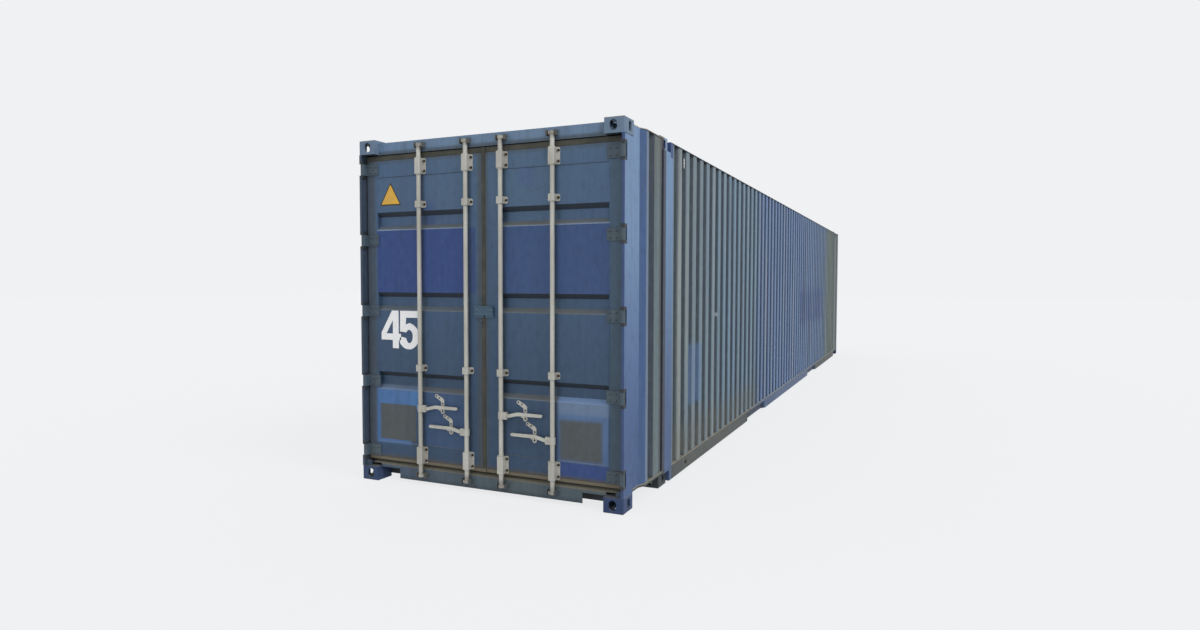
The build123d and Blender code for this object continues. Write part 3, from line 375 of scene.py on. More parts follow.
def side_marks(paint, colour):
    """A long side: light crests and folds in painted shade, band by band, and streaks that fill whole
    crests.
    """
    crest = paint.fade(abs(paint.y), CREST_FACE - 0.011, CREST_FACE - 0.003)
    light, dark = SIDE_ZONES[0][2:]
    for place, soft, crest_shade, fold_painted_shade in SIDE_ZONES[1:]:
        zone = paint.fade(paint.x, place - soft, place + soft)
        light, dark = paint.tint(zone, light, crest_shade), paint.tint(zone, dark, fold_painted_shade)
    colour = paint.tint(0.12, paint.tint(crest, dark, light), colour)
    each_crest = paint.noise(5.0, (1, 0, 0.06), 1.0)
    scuffs = paint.fade(paint.noise(3.0, (0.5, 1, 9), 3.0), 0.62, 0.74)
    return paint.coats(lay_marks(paint, colour, paint.x, SIDE_MARKS),
                       (paint.fade(each_crest, 0.54, 0.72) * crest * 0.35, (146, 152, 146)),
                       (paint.fade(each_crest, 0.46, 0.28) * 0.4, (58, 72, 82)),
                       (scuffs * crest * 0.3, (136, 142, 140)))


def front_wall_marks(paint, colour):
    """The closed end: its crests are the faces farthest from the doors; the folds get a painted shade."""
    crest = paint.fade(paint.x, BOX_END - 0.030, BOX_END - 0.021)
    return paint.tint(0.8, colour, paint.tint(crest, (64, 79, 93), (98, 116, 126)))


side_paint = aged("side_paint", (92, 108, 122), (108, 120, 122), rust=0.35, marks=side_marks,
                  hold=towards_centre)
roof_paint = aged("roof_paint", (78, 102, 130), (98, 118, 136), dust=(100, 112, 122), rust=0.5,
                  hold=looking("Z", -1))
front_wall_paint = aged("front_wall_paint", (92, 108, 122), (108, 120, 122), rust=0.4,
                        marks=front_wall_marks, hold=looking("X", -1))

# %% [markdown]
# Between the doors and the posts at the 40 foot places lies a short bay of folded sheet. It is
# painted in upright stripes, one to each face of a fold: a deep blue painted shade on the flare that
# turns to the doors, a painted light on the outward flange, painted shade in the valley, the olive
# crest, a brown band and painted shade in the groove. A fold is known by its distance from the doors,
# so the stripes are steps of colour along that distance, the same at both ends of the box. They
# start from the blue of the door post, which runs on around its corner.

# %% The end bay
STAIN_START, HEAD_START, HEAD_END = 0.42, 0.56, 0.80
# Where each stripe starts, and its colour: flare, flange, valley, crest, brown band, groove. The flare,
# valley and groove stripes are painted shade; the flange stripe is painted light.
BAY_STRIPES = (
    (0.296, (56, 86, 132)), (0.385, (108, 126, 148)), (0.430, (46, 56, 66)),
    (0.560, (98, 115, 118)), (0.680, (70, 68, 52)), (0.712, (46, 44, 38)),
)


def post_blue_painted_light(paint):
    """The post's blue with painted light: deep at its foot, lighter towards its head."""
    low = paint.tint(paint.fade(paint.z, 0.1, 1.4), (56, 84, 130), (84, 112, 156))
    by_height = paint.tint(paint.fade(paint.z, 0.9, 2.3), low, (118, 147, 184))
    return paint.tint(paint.fade(paint.x, 0.0, 1.0), by_height, (88, 98, 94))


def bay_marks(paint, colour):
    """Stripes of painted light and shade, brown at the head and in stains, and olive at the closed end."""
    depth = BOX_END - abs(paint.x)
    stripes = post_blue_painted_light(paint)
    for start, shade in BAY_STRIPES:
        stripes = paint.tint(paint.fade(depth, start - 0.006, start + 0.006), stripes, shade)
    head = paint.between(depth, HEAD_START, HEAD_END, 0.01) * paint.fade(paint.z, 2.2, 2.8)
    stains = paint.fade(paint.noise(11.0, (1, 1, 0.12), 3.0), 0.52, 0.7)
    stains = stains * paint.fade(depth, STAIN_START, STAIN_START + 0.04)
    stripes = paint.coats(stripes, (head * 0.4, (98, 88, 62)), (stains * 0.35, (80, 82, 66)),
                          (paint.fade(paint.x, 0.0, 1.0) * 0.7, (78, 86, 78)))
    return paint.tint(0.9, colour, stripes)


bay_paint = aged("bay_paint", (84, 104, 134), (104, 120, 136), rust=0.25, marks=bay_marks,
                 hold=towards_centre)

# %% [markdown]
# The posts carry the stack. Their outer sides are a lighter blue as painted light, lighter still
# towards the head, and the faces round the doors a dull dark blue as painted shade. The posts at the
# 40 foot places have a pocket above in painted shade, with a casting in it that is brown on the side
# towards the doors and has a painted light on its outer face. None of this needs an image: the faces
# differ in how far they lie from the centre plane and from the end of the box, and a soft step along
# either distance picks them.

# %% The posts and the castings in their pockets
CASTING_SIDE = 1.219
DARK_STRIP, POCKET_FOOT, POCKET_DEPTH, RIM_DEPTH = 0.826, 2.735, 0.930, 0.855


def post_marks(paint, colour):
    """The outer side has painted light; the faces round the doors get a painted shade of dull dark blue."""
    outer = paint.fade(abs(paint.y), CASTING_SIDE - 0.0022, CASTING_SIDE - 0.0008)
    front_face = paint.fade(abs(paint.x), BOX_END - 0.010, BOX_END - 0.002)
    # The dull blues are a painted shade on the front faces and the inner sides of the post.
    dull = paint.tint(front_face * paint.fade(paint.y, 0.0, -0.01), (50, 62, 76), (48, 70, 118))
    shade = paint.tint(outer * (1 - front_face), dull, post_blue_painted_light(paint))
    return paint.tint(0.85, colour, shade)


def forty_marks(paint, colour):
    """A 40 foot post: painted light up high, a dark strip by the bay, painted shade in the pocket."""
    depth = BOX_END - abs(paint.x)
    pocket_shade = paint.fade(paint.z, POCKET_FOOT, POCKET_FOOT + 0.007)
    pocket_shade = pocket_shade * paint.fade(depth, POCKET_DEPTH, POCKET_DEPTH + 0.010)
    # The blue grows lighter towards the head as painted light, and the pocket gets a painted shade.
    shade = paint.coats(paint.tint(paint.fade(paint.z, 0.2, 2.5), (62, 86, 128), (112, 145, 182)),
                        (paint.fade(depth, DARK_STRIP, DARK_STRIP - 0.010) * 0.9, (46, 40, 36)),
                        (pocket_shade, (46, 70, 122)), (paint.fade(paint.x, 0.0, 1.0), (88, 98, 92)))
    return paint.coats(colour, (paint.fade(paint.z, 0.16, 0.13), (84, 96, 96)), (0.85, shade))


def pocket_marks(paint, colour):
    """The castings at the 40 foot places: brown towards the doors, then painted light; dark below."""
    depth = BOX_END - abs(paint.x)
    outer = paint.fade(abs(paint.y), CASTING_SIDE - 0.005, CASTING_SIDE - 0.001)
    # Past the brown, the casting's outer face gets a pale blue painted light.
    rim = paint.tint(paint.fade(depth, RIM_DEPTH, RIM_DEPTH + 0.010), (46, 40, 36), (150, 172, 200))
    return paint.coats(colour, (outer * 0.85, rim), (paint.fade(paint.z, 0.9, 0.6), (50, 56, 60)))


pocket_paint = aged("pocket_paint", (54, 78, 130), (62, 88, 140), rust=0.3, marks=pocket_marks)
post_paint = aged("post_paint", (84, 106, 146), (98, 118, 150), rust=0.2, marks=post_marks)
forty_post_paint = aged("forty_post_paint", (96, 118, 150), (108, 126, 152), rust=0.25,
                        marks=forty_marks, hold=towards_centre)

# %% [markdown]
# The beams that frame the doors collect what the rain brings down. The header is pale above and
# dull at its foot, the sill is darkest at its lower edge, and the top flange of each bottom rail is
# a light dusty ledge above grapple recesses in painted shade. Corner castings at the top are lighter,
# the ones at the bottom a deep blue. Each of these follows the height, so soft steps along Z make them.

# %% The frame finishes
HEADER_FOOT, SILL_LEDGE, RAIL_LEDGE, RECESS_TOP = 2.786, 0.140, 0.149, 0.120


def header_marks(paint, colour):
    """The header: a dull foot, and a greyer end at the right."""
    return paint.coats(colour, (paint.fade(paint.y, -0.95, -1.05) * 0.5, (78, 84, 82)),
                       (paint.fade(paint.z, HEADER_FOOT + 0.032, HEADER_FOOT) * 0.85, (66, 80, 90)))


def sill_marks(paint, colour):
    """The sill: bluer to the left, dark at its foot, dusty on top and dark behind the doors."""
    behind = paint.fade(abs(paint.x), BOX_END - 0.110, BOX_END - 0.130)
    return paint.coats(colour, (paint.fade(paint.y, -0.3, 0.9) * 0.7, (66, 88, 114)),
                       (paint.fade(paint.z, 0.075, 0.035) * 0.6, (48, 58, 64)),
                       (paint.fade(paint.z, SILL_LEDGE - 0.012, SILL_LEDGE) * 0.8, (124, 116, 98)),
                       (behind, (34, 40, 46)))


def rail_marks(paint, colour):
    """A bottom rail: blue in the middle, painted shade in the grapple recesses, a dusty top."""
    # The grapple recesses get a deep blue painted shade.
    recess_shade = paint.fade(abs(paint.y), CREST_FACE, CREST_FACE - 0.008)
    recess_shade = recess_shade * paint.fade(paint.z, RECESS_TOP + 0.008, RECESS_TOP)
    return paint.coats(colour, (paint.between(paint.x, -2.6, 2.8, 0.4) * 0.8, (72, 94, 132)),
                       (recess_shade, (34, 46, 72)),
                       (paint.fade(paint.z, RAIL_LEDGE - 0.007, RAIL_LEDGE) * 0.9, (170, 162, 142)))


def casting_marks(paint, colour):
    """Lighter above the middle of the box, deep blue below."""
    head = paint.tint(paint.fade(paint.y, -0.5, 0.5), (108, 130, 152), (104, 126, 150))
    return paint.tint(paint.fade(paint.z, 1.3, 1.5), colour, head)


beam_paint = aged("beam_paint", (104, 132, 166), (110, 136, 164), rust=0.35, marks=header_marks)
top_rail_paint = aged("top_rail_paint", (66, 76, 82), (84, 92, 94), rust=0.4)
sill_paint = aged("sill_paint", (78, 94, 102), (90, 100, 102), rust=0.4, marks=sill_marks)
casting_paint = aged("casting_paint", (42, 62, 104), (50, 72, 108), rust=0.4, roughness=0.55,
                     marks=casting_marks)
rail_paint = aged("rail_paint", (58, 65, 64), (72, 76, 70), rust=0.45, marks=rail_marks)
underside_paint = aged("underside_paint", (44, 54, 62), (62, 66, 66), rust=0.6)

# %% [markdown]
# The bars, their guides and the levers are dipped in molten zinc, which turns dull and pale and
# lets rust through in spots. The seals are black rubber under a coat of dust, brownest at the foot.
# The floor is of plywood sheets end to end. A brick pattern draws their dark joints, so that the
# floor's mesh needs no cuts.

# %% Zinc, rubber and boards
def galvanised_steel():
    zinc = Recipe("galvanised_steel", metallic=0.35)
    stain = zinc.noise(7.0, (1, 1, 0.25), 4.0)
    grain = zinc.noise(160.0, (1, 1, 0.3), 2.0)
    ends = zinc.fade(zinc.z, 0.165, 0.115) + zinc.fade(zinc.z, 2.770, 2.815)
    colour = zinc.coats(zinc.tint(zinc.fade(stain, 0.35, 0.7), (180, 178, 168), (206, 205, 198)),
                        (zinc.fade(stain * 0.6 + grain * 0.5, 0.62, 0.78) * 0.5, (150, 118, 84)),
                        (zinc.fade(zinc.facing("Z"), 0.2, 0.7) * 0.5, (150, 146, 126)),
                        (ends * 0.55 * zinc.fade(stain, 0.3, 0.6), (92, 84, 70)))
    return zinc.wear(base_color=colour, roughness=0.42 + stain * 0.2, normal=zinc.bump(grain, 0.001, 0.4))


def dusty_rubber():
    rubber = Recipe("dusty_rubber", metallic=0.0)
    dirt = rubber.noise(5.0, (1, 1, 1), 4.0)
    colour = rubber.tint(rubber.fade(dirt, 0.35, 0.7), (62, 62, 56), (82, 80, 70))
    colour = rubber.tint(rubber.fade(rubber.z, 0.215, 0.195), colour, (118, 110, 94))
    return rubber.wear(base_color=colour, roughness=0.75 + dirt * 0.1, normal=rubber.bump(dirt, 0.002, 0.4))


def deck_plywood():
    wood = Recipe("deck_plywood", metallic=0.0)
    grain = wood.noise(14.0, (0.12, 1, 1), 4.0)
    board = wood.node("ShaderNodeTexBrick", {"offset": 0.5}, {
        "Vector": wood.point, "Scale": 1.0, "Mortar Size": 0.004, "Brick Width": 2.4, "Row Height": 1.16,
        "Color1": srgb(120, 88, 60), "Color2": srgb(102, 74, 52), "Mortar": srgb(34, 26, 20)})
    colour = wood.tint(wood.fade(grain, 0.4, 0.75) * 0.5, board, (70, 50, 36))
    return wood.wear(base_color=colour, roughness=0.55 + grain * 0.2, normal=wood.bump(grain, 0.002, 0.4))


galvanised = galvanised_steel()
rubber = dusty_rubber()
plywood = deck_plywood()
print("further finishes:", [material.name for material in (galvanised, rubber, plywood)])

# %% [markdown]
# Every node of the frame gets its finish by the start of its name. A table of kinds is shorter than
# a list of nodes, because a left and a right part share a line. Where two kinds fit a name, the
# longer one is meant.

# %% Dress the frame's own nodes
FINISHES = (
    (door_paint, "door_panel door_frame"), (door_steel_paint, "hinge_blades"),
    (lock_paint, "centre_bracket"), (side_paint, "side_wall side_vents"), (roof_paint, "roof"),
    (bay_paint, "end_bay_panels"), (post_paint, "door_post front_post"), (lug_shade_paint, "hinge_lugs"),
    (forty_post_paint, "forty_foot_posts"), (beam_paint, "door_header front_top_rail"),
    (front_wall_paint, "front_wall"), (top_rail_paint, "top_side_rail"),
    (sill_paint, "door_sill front_bottom_rail"), (rail_paint, "bottom_side_rail end_bay_rails"),
    (underside_paint, "cross_members end_stringers gooseneck_tunnel"),
    (casting_paint, "door_castings front_castings"), (pocket_paint, "forty_foot_castings"),
    (keeper_paint, "cam_keepers"), (rubber, "door_gasket"), (plywood, "floor"),
    (galvanised, "bar_brackets handle_retainers locking_bar handle"),
)
finish_of = {kind: finish for finish, kinds in FINISHES for kind in kinds.split()}
for name, node in nodes.items():
    kind = max((k for k in finish_of if name.startswith(k)), key=len)
    node.data.materials.clear()
    node.data.materials.append(finish_of[kind])
print("finishes given to", len(nodes), "nodes")

# %% [markdown]
# Small hardware is the same few shapes many times over, so each kind is shaped once by bmesh
# operators and laid down again wherever the drawing wants one. A finished piece keeps its object at
# the origin and carries its place in the mesh, as the frame's own nodes do; then a pattern in Object
# coordinates runs on from one part to the next, and the piece turns with the body it rides on. Two
# more helpers round edges and cut with a plane, with the settings that all pieces share.

# %% Turn a bmesh into a finished piece
OUT_OF_DOOR = Matrix.Rotation(math.radians(-90), 4, "Y")


def at(x, y, z):
    """A shift to a place; times OUT_OF_DOOR it also lays a shape's Z axis out of the door."""
    return Matrix.Translation((x, y, z))


def finished(name, bm, finish, body, crease=35):
    """Makes a bmesh an object of its own that rides on a body of the frame."""
    for face in bm.faces:
        face.smooth = True
    mesh = bpy.data.meshes.new(name)
    bm.to_mesh(mesh)
    bm.free()
    mesh.set_sharp_from_angle(angle=math.radians(crease))
    piece = bpy.data.objects.new(name, mesh)
    bpy.context.scene.collection.objects.link(piece)
    for material in finish if isinstance(finish, list) else [finish]:
        mesh.materials.append(material)
    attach(piece, body)
    print(name, "rides on", body, "with", len(mesh.polygons), "faces")
    return piece


# %% Round edges and cut with a plane
def sharp_edges(bm):
    """The edges where two faces meet at more than about 17 degrees."""
    return [e for e in bm.edges if e.calc_face_angle(0) > 0.3]


def round_off(bm, geom, width, segments=2, affect="EDGES"):
    bmesh.ops.bevel(bm, geom=geom, offset=width, offset_type="OFFSET", affect=affect, segments=segments,
                    profile=0.5, material=-1, clamp_overlap=True)


def cut_off(bm, verts, place, away, closed=True):
    """Cuts the shape that verts belong to with a plane and drops the side that away doesn't point to."""
    faces = list({f for v in verts for f in v.link_faces})
    edges = list({e for f in faces for e in f.edges})
    cut = bmesh.ops.bisect_plane(bm, geom=verts + edges + faces, dist=1e-6, plane_co=place, plane_no=away,
                                 clear_inner=True)["geom_cut"]
    if closed:
        bmesh.ops.holes_fill(bm, edges=[g for g in cut if isinstance(g, bmesh.types.BMEdge)], sides=0)


# %% [markdown]
# A hexagon bolt is a washer, a six-sided head with its corners turned off, and the end of the shank.
# Four of them hold each end guide and two each one between, and grime in the thread makes them read
# as dark dots from a distance. Three short cones on top of each other are enough for that.

# %% Bolts that hold the bar guides
def worn_steel():
    steel = Recipe("dark_bolt_steel", metallic=0.4)
    spots = steel.noise(90.0, (1, 1, 1), 3.0)
    colour = steel.tint(steel.fade(spots, 0.42, 0.62), (52, 50, 48), (96, 74, 58))
    return steel.wear(base_color=colour, roughness=0.55 + spots * 0.2,
                      normal=steel.bump(spots, 0.0006, 0.5))


dark_steel = worn_steel()


# sides, radius below, radius above and thickness of the washer, the head and the shank's end
BOLT_LAYERS = ((14, 0.0115, 0.01081, 0.0024), (6, 0.0092, 0.00828, 0.008), (10, 0.005, 0.004, 0.005))


def hex_bolt(bm, place):
    """A bolt that points out of the door, stacked on the plane through place."""
    rise = 0
    for sides, below, above, thick in BOLT_LAYERS:
        bmesh.ops.create_cone(bm, cap_ends=True, segments=sides, radius1=below, radius2=above, depth=thick,
                              matrix=at(*place) @ OUT_OF_DOOR @ at(0, 0, rise + thick / 2))
        rise += thick


FLANGE_FACE = DOOR_FACE - 0.005
END_GUIDES = ((2.590, 2.720), (0.187, 0.327))
MID_GUIDES = ((2.315, 2.369), (0.962, 1.016))
BOLT_OUT, BOLT_EDGE = 0.040, 0.024

BOLT_HEIGHTS = [z for low, high in END_GUIDES for z in (low + BOLT_EDGE, high - BOLT_EDGE)]
BOLT_HEIGHTS += [(low + high) / 2 for low, high in MID_GUIDES]
for side, sign in LEAVES.items():
    bm = bmesh.new()
    for offset in BAR_OFFSETS:
        for z in BOLT_HEIGHTS:
            for out in (-BOLT_OUT, BOLT_OUT):
                hex_bolt(bm, (FLANGE_FACE, sign * offset + out, z))
    finished(f"guide_bolts_{side}", bm, dark_steel, f"{side}_door")

# %% [markdown]
# Each hinge blade is riveted through the leaf. A rivet head is half a sphere, pressed a little flat.
# Spinning a quarter arc would make it, but an icosphere needs no pole: it is scaled along its axis,
# and the half that would sit inside the steel is cut off with a plane.

# %% Rivets on the hinge blades
HINGE_HEIGHTS = [0.255 + 0.6 * step for step in range(5)]
BLADE_PLATE, RIVET_COLUMNS, RIVET_RISE = -6.810, (1.085, 1.135), 0.026


def rivet(bm, place, radius=0.010, flat=0.55):
    """A domed head that points out of the door."""
    squash = Matrix.Diagonal((1, 1, flat, 1))
    new = bmesh.ops.create_icosphere(bm, subdivisions=2, radius=radius,
                                     matrix=at(*place) @ OUT_OF_DOOR @ squash)
    cut_off(bm, new["verts"], place, (-1, 0, 0), closed=False)


for side, sign in LEAVES.items():
    bm = bmesh.new()
    for z in HINGE_HEIGHTS:
        for y in RIVET_COLUMNS:
            for rise in (-RIVET_RISE, RIVET_RISE):
                rivet(bm, (BLADE_PLATE, sign * y, z + rise))
    finished(f"hinge_rivets_{side}", bm, door_steel_paint, f"{side}_door")

# %% [markdown]
# The lever turns on a pin through its hub, and the hub is forged on the bar. The pin shows as a
# domed head on a washer. It could ride on the lever, but it is fixed in the hub, so it rides on the
# bar and stays put while the lever lifts. The dome is a rivet's.

# %% Pins of the levers
HUB_PINS = {"a": (0.576, 0.652), "b": (0.206, 0.489), "c": (-0.206, 0.652), "d": (-0.576, 0.489)}
CHEEK_FACE, WASHER_THICK = -6.8445, 0.0022
for bar, (y, z) in HUB_PINS.items():
    bm = bmesh.new()
    bmesh.ops.create_cone(bm, cap_ends=True, segments=20, radius1=0.0115, radius2=0.0110,
                          depth=WASHER_THICK,
                          matrix=at(CHEEK_FACE - WASHER_THICK / 2, y, z) @ OUT_OF_DOOR)
    rivet(bm, (CHEEK_FACE - WASHER_THICK, y, z), radius=0.0085, flat=0.6)
    finished(f"lever_pin_{bar}", bm, galvanised, f"bar_{bar}")

# %% [markdown]
# Each leaf closes on a rubber seal that runs round its edge. The real section has a channel that
# grips the leaf and a lip that folds against the frame. A path with that section would need four
# mitred corners. Here two rectangles are bridged to a flat ring, which is drawn out to its depth, an
# inset of its front pushes the lip up, and beveled edges give the fat look of old rubber.

# %% Door seals with a lip
LIP_WIDTH, LIP_RISE, SOFT_EDGE = 0.003, 0.004, 0.0018


def rectangle(bm, x, low, high):
    """Four points joined by edges, in the plane at x, between two corners."""
    places = ((low.y, low.z), (high.y, low.z), (high.y, high.z), (low.y, high.z))
    verts = [bm.verts.new((x, y, z)) for y, z in places]
    return [bm.edges.new((verts[i - 1], verts[i])) for i in range(4)]


def seal_ring(low, high, open_low, open_high):
    """A ring between the outer box of the seal and the leaf that it grips, with a raised lip."""
    bm = bmesh.new()
    base = low.x + LIP_RISE
    loops = rectangle(bm, base, low, high) + rectangle(bm, base, open_low, open_high)
    bmesh.ops.bridge_loops(bm, edges=loops)
    drawn = bmesh.ops.extrude_face_region(bm, geom=bm.faces[:])["geom"]
    back = [v for v in drawn if isinstance(v, bmesh.types.BMVert)]
    bmesh.ops.translate(bm, vec=(high.x - base, 0, 0), verts=back)
    bmesh.ops.recalc_face_normals(bm, faces=bm.faces)
    front = [f for f in bm.faces if f.normal.x < -0.9]
    bmesh.ops.inset_region(bm, faces=front, thickness=LIP_WIDTH, depth=LIP_RISE, use_even_offset=True)
    round_off(bm, sharp_edges(bm), SOFT_EDGE)
    return bm


for side in LEAVES:
    seal_low, seal_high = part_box(f"door_gasket_{side}")
    leaf_low, leaf_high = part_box(f"door_frame_{side}")
    seal = finished(f"door_seal_{side}", seal_ring(seal_low, seal_high, leaf_low, leaf_high), rubber,
                    f"{side}_door")
    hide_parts(f"door_gasket_{side}")
    print("seal box", [round(v, 3) for v in seal_low], [round(v, 3) for v in seal_high])

# %% [markdown]
# The two digits on the left leaf give the length in feet, stencilled in a bold, narrow face. A text
# object could write them in a font's own shapes. Here each digit is a flat curve of straight and
# rounded points, which fills itself, holes included. It becomes a mesh before it is laid on the
# door, a fraction of a millimetre proud of the steel, as a film of paint is.

# %% The length number
def stencil_paint():
    white = Recipe("white_stencil_paint", metallic=0.0)
    chips = white.noise(26.0, (1, 1, 0.6), 4.0)
    colour = white.tint(white.fade(chips, 0.62, 0.70) * 0.4, (255, 255, 255), (196, 202, 208))
    return white.wear(base_color=colour, roughness=0.45 + chips * 0.2,
                      normal=white.bump(chips, 0.0008, 0.3))


FOUR = (((0.114, 0.319), (0.184, 0.319), (0.184, 0.124), (0.208, 0.124), (0.208, 0.070), (0.184, 0.070),
         (0.184, 0.0), (0.120, 0.0), (0.120, 0.070), (0.0, 0.070), (0.0, 0.130)),
        ((0.122, 0.124), (0.122, 0.236), (0.054, 0.124)))
FIVE = (((0.010, 0.319), (0.190, 0.319), (0.190, 0.262), (0.072, 0.262), (0.068, 0.205), "r",
         (0.120, 0.214), (0.205, 0.106), (0.102, -0.005), (0.004, 0.086), "c", (0.068, 0.092), "r",
         (0.102, 0.048), (0.139, 0.106), (0.104, 0.160), "c", (0.070, 0.138), (0.006, 0.144)),)
DIGIT_LEFT, DIGIT_BOTTOM, DIGIT_STEP = 1.047, 1.141, 0.191


def flat_letter(outlines):
    """A filled mesh from closed outlines; an 'r' turns rounded points on, a 'c' corners."""
    curve = bpy.data.curves.new("digit_outline", "CURVE")
    curve.dimensions, curve.fill_mode, curve.resolution_u = "2D", "BOTH", 10
    for outline in outlines:
        spline, rounded, places = curve.splines.new("BEZIER"), False, []
        for point in outline:
            if isinstance(point, str):
                rounded = point == "r"
            else:
                places.append((point, rounded))
        spline.bezier_points.add(len(places) - 1)
        for knot, ((u, v), soft) in zip(spline.bezier_points, places):
            knot.co = (u, v, 0)
            knot.handle_left_type = knot.handle_right_type = "AUTO" if soft else "VECTOR"
        spline.use_cyclic_u = True
    holder = bpy.data.objects.new("digit_outline", curve)
    bpy.context.scene.collection.objects.link(holder)
    bpy.context.view_layer.update()
    mesh = bpy.data.meshes.new_from_object(holder)
    bpy.data.objects.remove(holder)
    return mesh


def face_outwards(bm):
    """Turns all faces of a flat mark on the door outwards."""
    bmesh.ops.recalc_face_normals(bm, faces=bm.faces)
    if sum(f.normal.x * f.calc_area() for f in bm.faces) > 0:
        bmesh.ops.reverse_faces(bm, faces=bm.faces)


FILM_FACE = DOOR_FACE - 0.0005
digits = bmesh.new()
for step, outlines in enumerate((FOUR, FIVE)):
    start = len(digits.verts)
    digits.from_mesh(flat_letter(outlines))
    digits.verts.ensure_lookup_table()
    for vert in digits.verts[start:]:
        vert.co = (FILM_FACE, DIGIT_LEFT - step * DIGIT_STEP - vert.co.x, DIGIT_BOTTOM + vert.co.y)
face_outwards(digits)
finished("length_digits", digits, stencil_paint(), "left_door")

# %% [markdown]
# Above them sits a plain yellow triangle of reflecting film. A curve would draw it too, but a
# circle of three segments already is a triangle. A bevel of its corner points rounds it, and an
# inset leaves a narrow rim that gets a darker finish.

# %% The yellow triangle
def reflecting_film():
    film = Recipe("yellow_film", metallic=0.0)
    cells = film.node("ShaderNodeTexVoronoi", {"feature": "DISTANCE_TO_EDGE"},
                      {"Vector": film.point, "Scale": 420.0})
    fade = film.noise(9.0, (1, 1, 1), 3.0)
    colour = film.tint(film.fade(fade, 0.35, 0.7), (240, 186, 60), (226, 178, 74))
    colour = film.tint(film.fade(cells, 0.12, 0.02) * 0.15, colour, (150, 116, 40))
    return film.wear(base_color=colour, roughness=0.35 + fade * 0.2, normal=film.bump(fade, 0.001, 0.3))


def rim_ink():
    ink = Recipe("dark_rim", metallic=0.0)
    wear = ink.noise(30.0)
    colour = ink.tint(ink.fade(wear, 0.4, 0.7), (58, 54, 48), (84, 78, 66))
    return ink.wear(base_color=colour, roughness=0.5 + wear * 0.2)


TRIANGLE_Y, TRIANGLE_TOP, TRIANGLE_LOW = 0.936, 2.528, 2.348
CORNER_ROUND, RIM = 0.014, 0.010
bm = bmesh.new()
radius = (TRIANGLE_TOP - TRIANGLE_LOW + CORNER_ROUND) / 1.5
bmesh.ops.create_circle(bm, cap_ends=True, segments=3, radius=radius)
round_off(bm, bm.verts[:], CORNER_ROUND, 6, "VERTICES")
lift = TRIANGLE_LOW - min(v.co.y for v in bm.verts)
for vert in bm.verts:
    vert.co = (FILM_FACE, TRIANGLE_Y - vert.co.x, vert.co.y + lift)
face_outwards(bm)
rim = bmesh.ops.inset_region(bm, faces=bm.faces[:], thickness=RIM, use_even_offset=True, use_boundary=True)
for face in rim["faces"]:
    face.material_index = 1
finished("yellow_triangle", bm, [reflecting_film(), rim_ink()], "left_door")

# %% [markdown]
# Where the leaves meet, a rubber strip on the left leaf hides the gap. Its section is a flat half
# round. It could be a section drawn out along a path, but it is straight: a round bar is stretched
# to an ellipse, and the half that would lie inside the leaf is cut away by a plane and closed again.
# The strip stops above and below the lock bracket.

# %% The centre strip
STRIP_MIDDLE, STRIP_HALF, STRIP_RISE = 0.0115, 0.0165, 0.007
STRIP_RUNS = ((0.176, 1.4185), (1.5085, 2.766))

bm = bmesh.new()
for low, high in STRIP_RUNS:
    stretch = Matrix.Diagonal((STRIP_RISE, STRIP_HALF, high - low, 1))
    bar = bmesh.ops.create_cone(bm, cap_ends=True, segments=16, radius1=1, radius2=1, depth=1,
                                matrix=at(DOOR_FACE, STRIP_MIDDLE, (low + high) / 2) @ stretch)
    cut_off(bm, bar["verts"], (DOOR_FACE, 0, 0), (-1, 0, 0))
finished("centre_strip", bm, rubber, "left_door", crease=50)

# %% [markdown]
# Over the lock bracket sits one pressed plate with a raised rim. It is cut where the leaves part, so
# that either of them can swing. A thin block with rounded edges is dished by an inset and a push,
# and each leaf keeps its own side of the cut.

# %% The lock cover
LOCK_LOW, LOCK_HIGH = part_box("centre_bracket_left")
COVER_MIDDLE, COVER_WIDE, COVER_HIGH = 0.006, 0.172, 0.074
COVER_THICK, COVER_RIM, COVER_DISH, COVER_CUT, COVER_RIVET = 0.006, 0.008, 0.003, 0.0005, 0.062


def block(bm, centre, size):
    bmesh.ops.create_cube(bm, size=1, matrix=at(*centre) @ Matrix.Diagonal((*size, 1)))


cover_back = LOCK_LOW.x - 0.0005
lock_z = (LOCK_LOW.z + LOCK_HIGH.z) / 2
for side, sign in LEAVES.items():
    bm = bmesh.new()
    block(bm, (cover_back - COVER_THICK / 2, COVER_MIDDLE, lock_z), (COVER_THICK, COVER_WIDE, COVER_HIGH))
    front = min(bm.faces, key=lambda f: f.calc_center_median().x)
    bmesh.ops.inset_region(bm, faces=[front], thickness=COVER_RIM, depth=0, use_even_offset=True)
    bmesh.ops.translate(bm, vec=(COVER_DISH, 0, 0), verts=front.verts)
    round_off(bm, sharp_edges(bm), 0.0012)
    cut_off(bm, bm.verts[:], (0, sign * COVER_CUT, 0), (0, sign, 0))
    dished = cover_back - COVER_THICK + COVER_DISH
    rivet(bm, (dished, COVER_MIDDLE + sign * COVER_RIVET, lock_z), radius=0.008)
    finished(f"lock_cover_{side}", bm, lock_paint, f"{side}_door")

# %% [markdown]
# High in one fold of each long side, a small vent lets the hold breathe: a dark frame with a pale
# slotted insert in its middle. Slots could be cut in a plate, but a row of small rounded bars with
# gaps between them looks the same with fewer faces. The frame around it is a thin block whose
# outer face is inset and taken out, so that only a rim stays.

# %% Side vents
def vent_insert():
    pale = Recipe("pale_vent", metallic=0.0)
    dust = pale.noise(60.0, (1, 1, 0.4), 3.0)
    colour = pale.tint(pale.fade(dust, 0.4, 0.7) * 0.6, (236, 240, 240), (186, 190, 186))
    return pale.wear(base_color=colour, roughness=0.5 + dust * 0.2, normal=pale.bump(dust, 0.0006, 0.3))


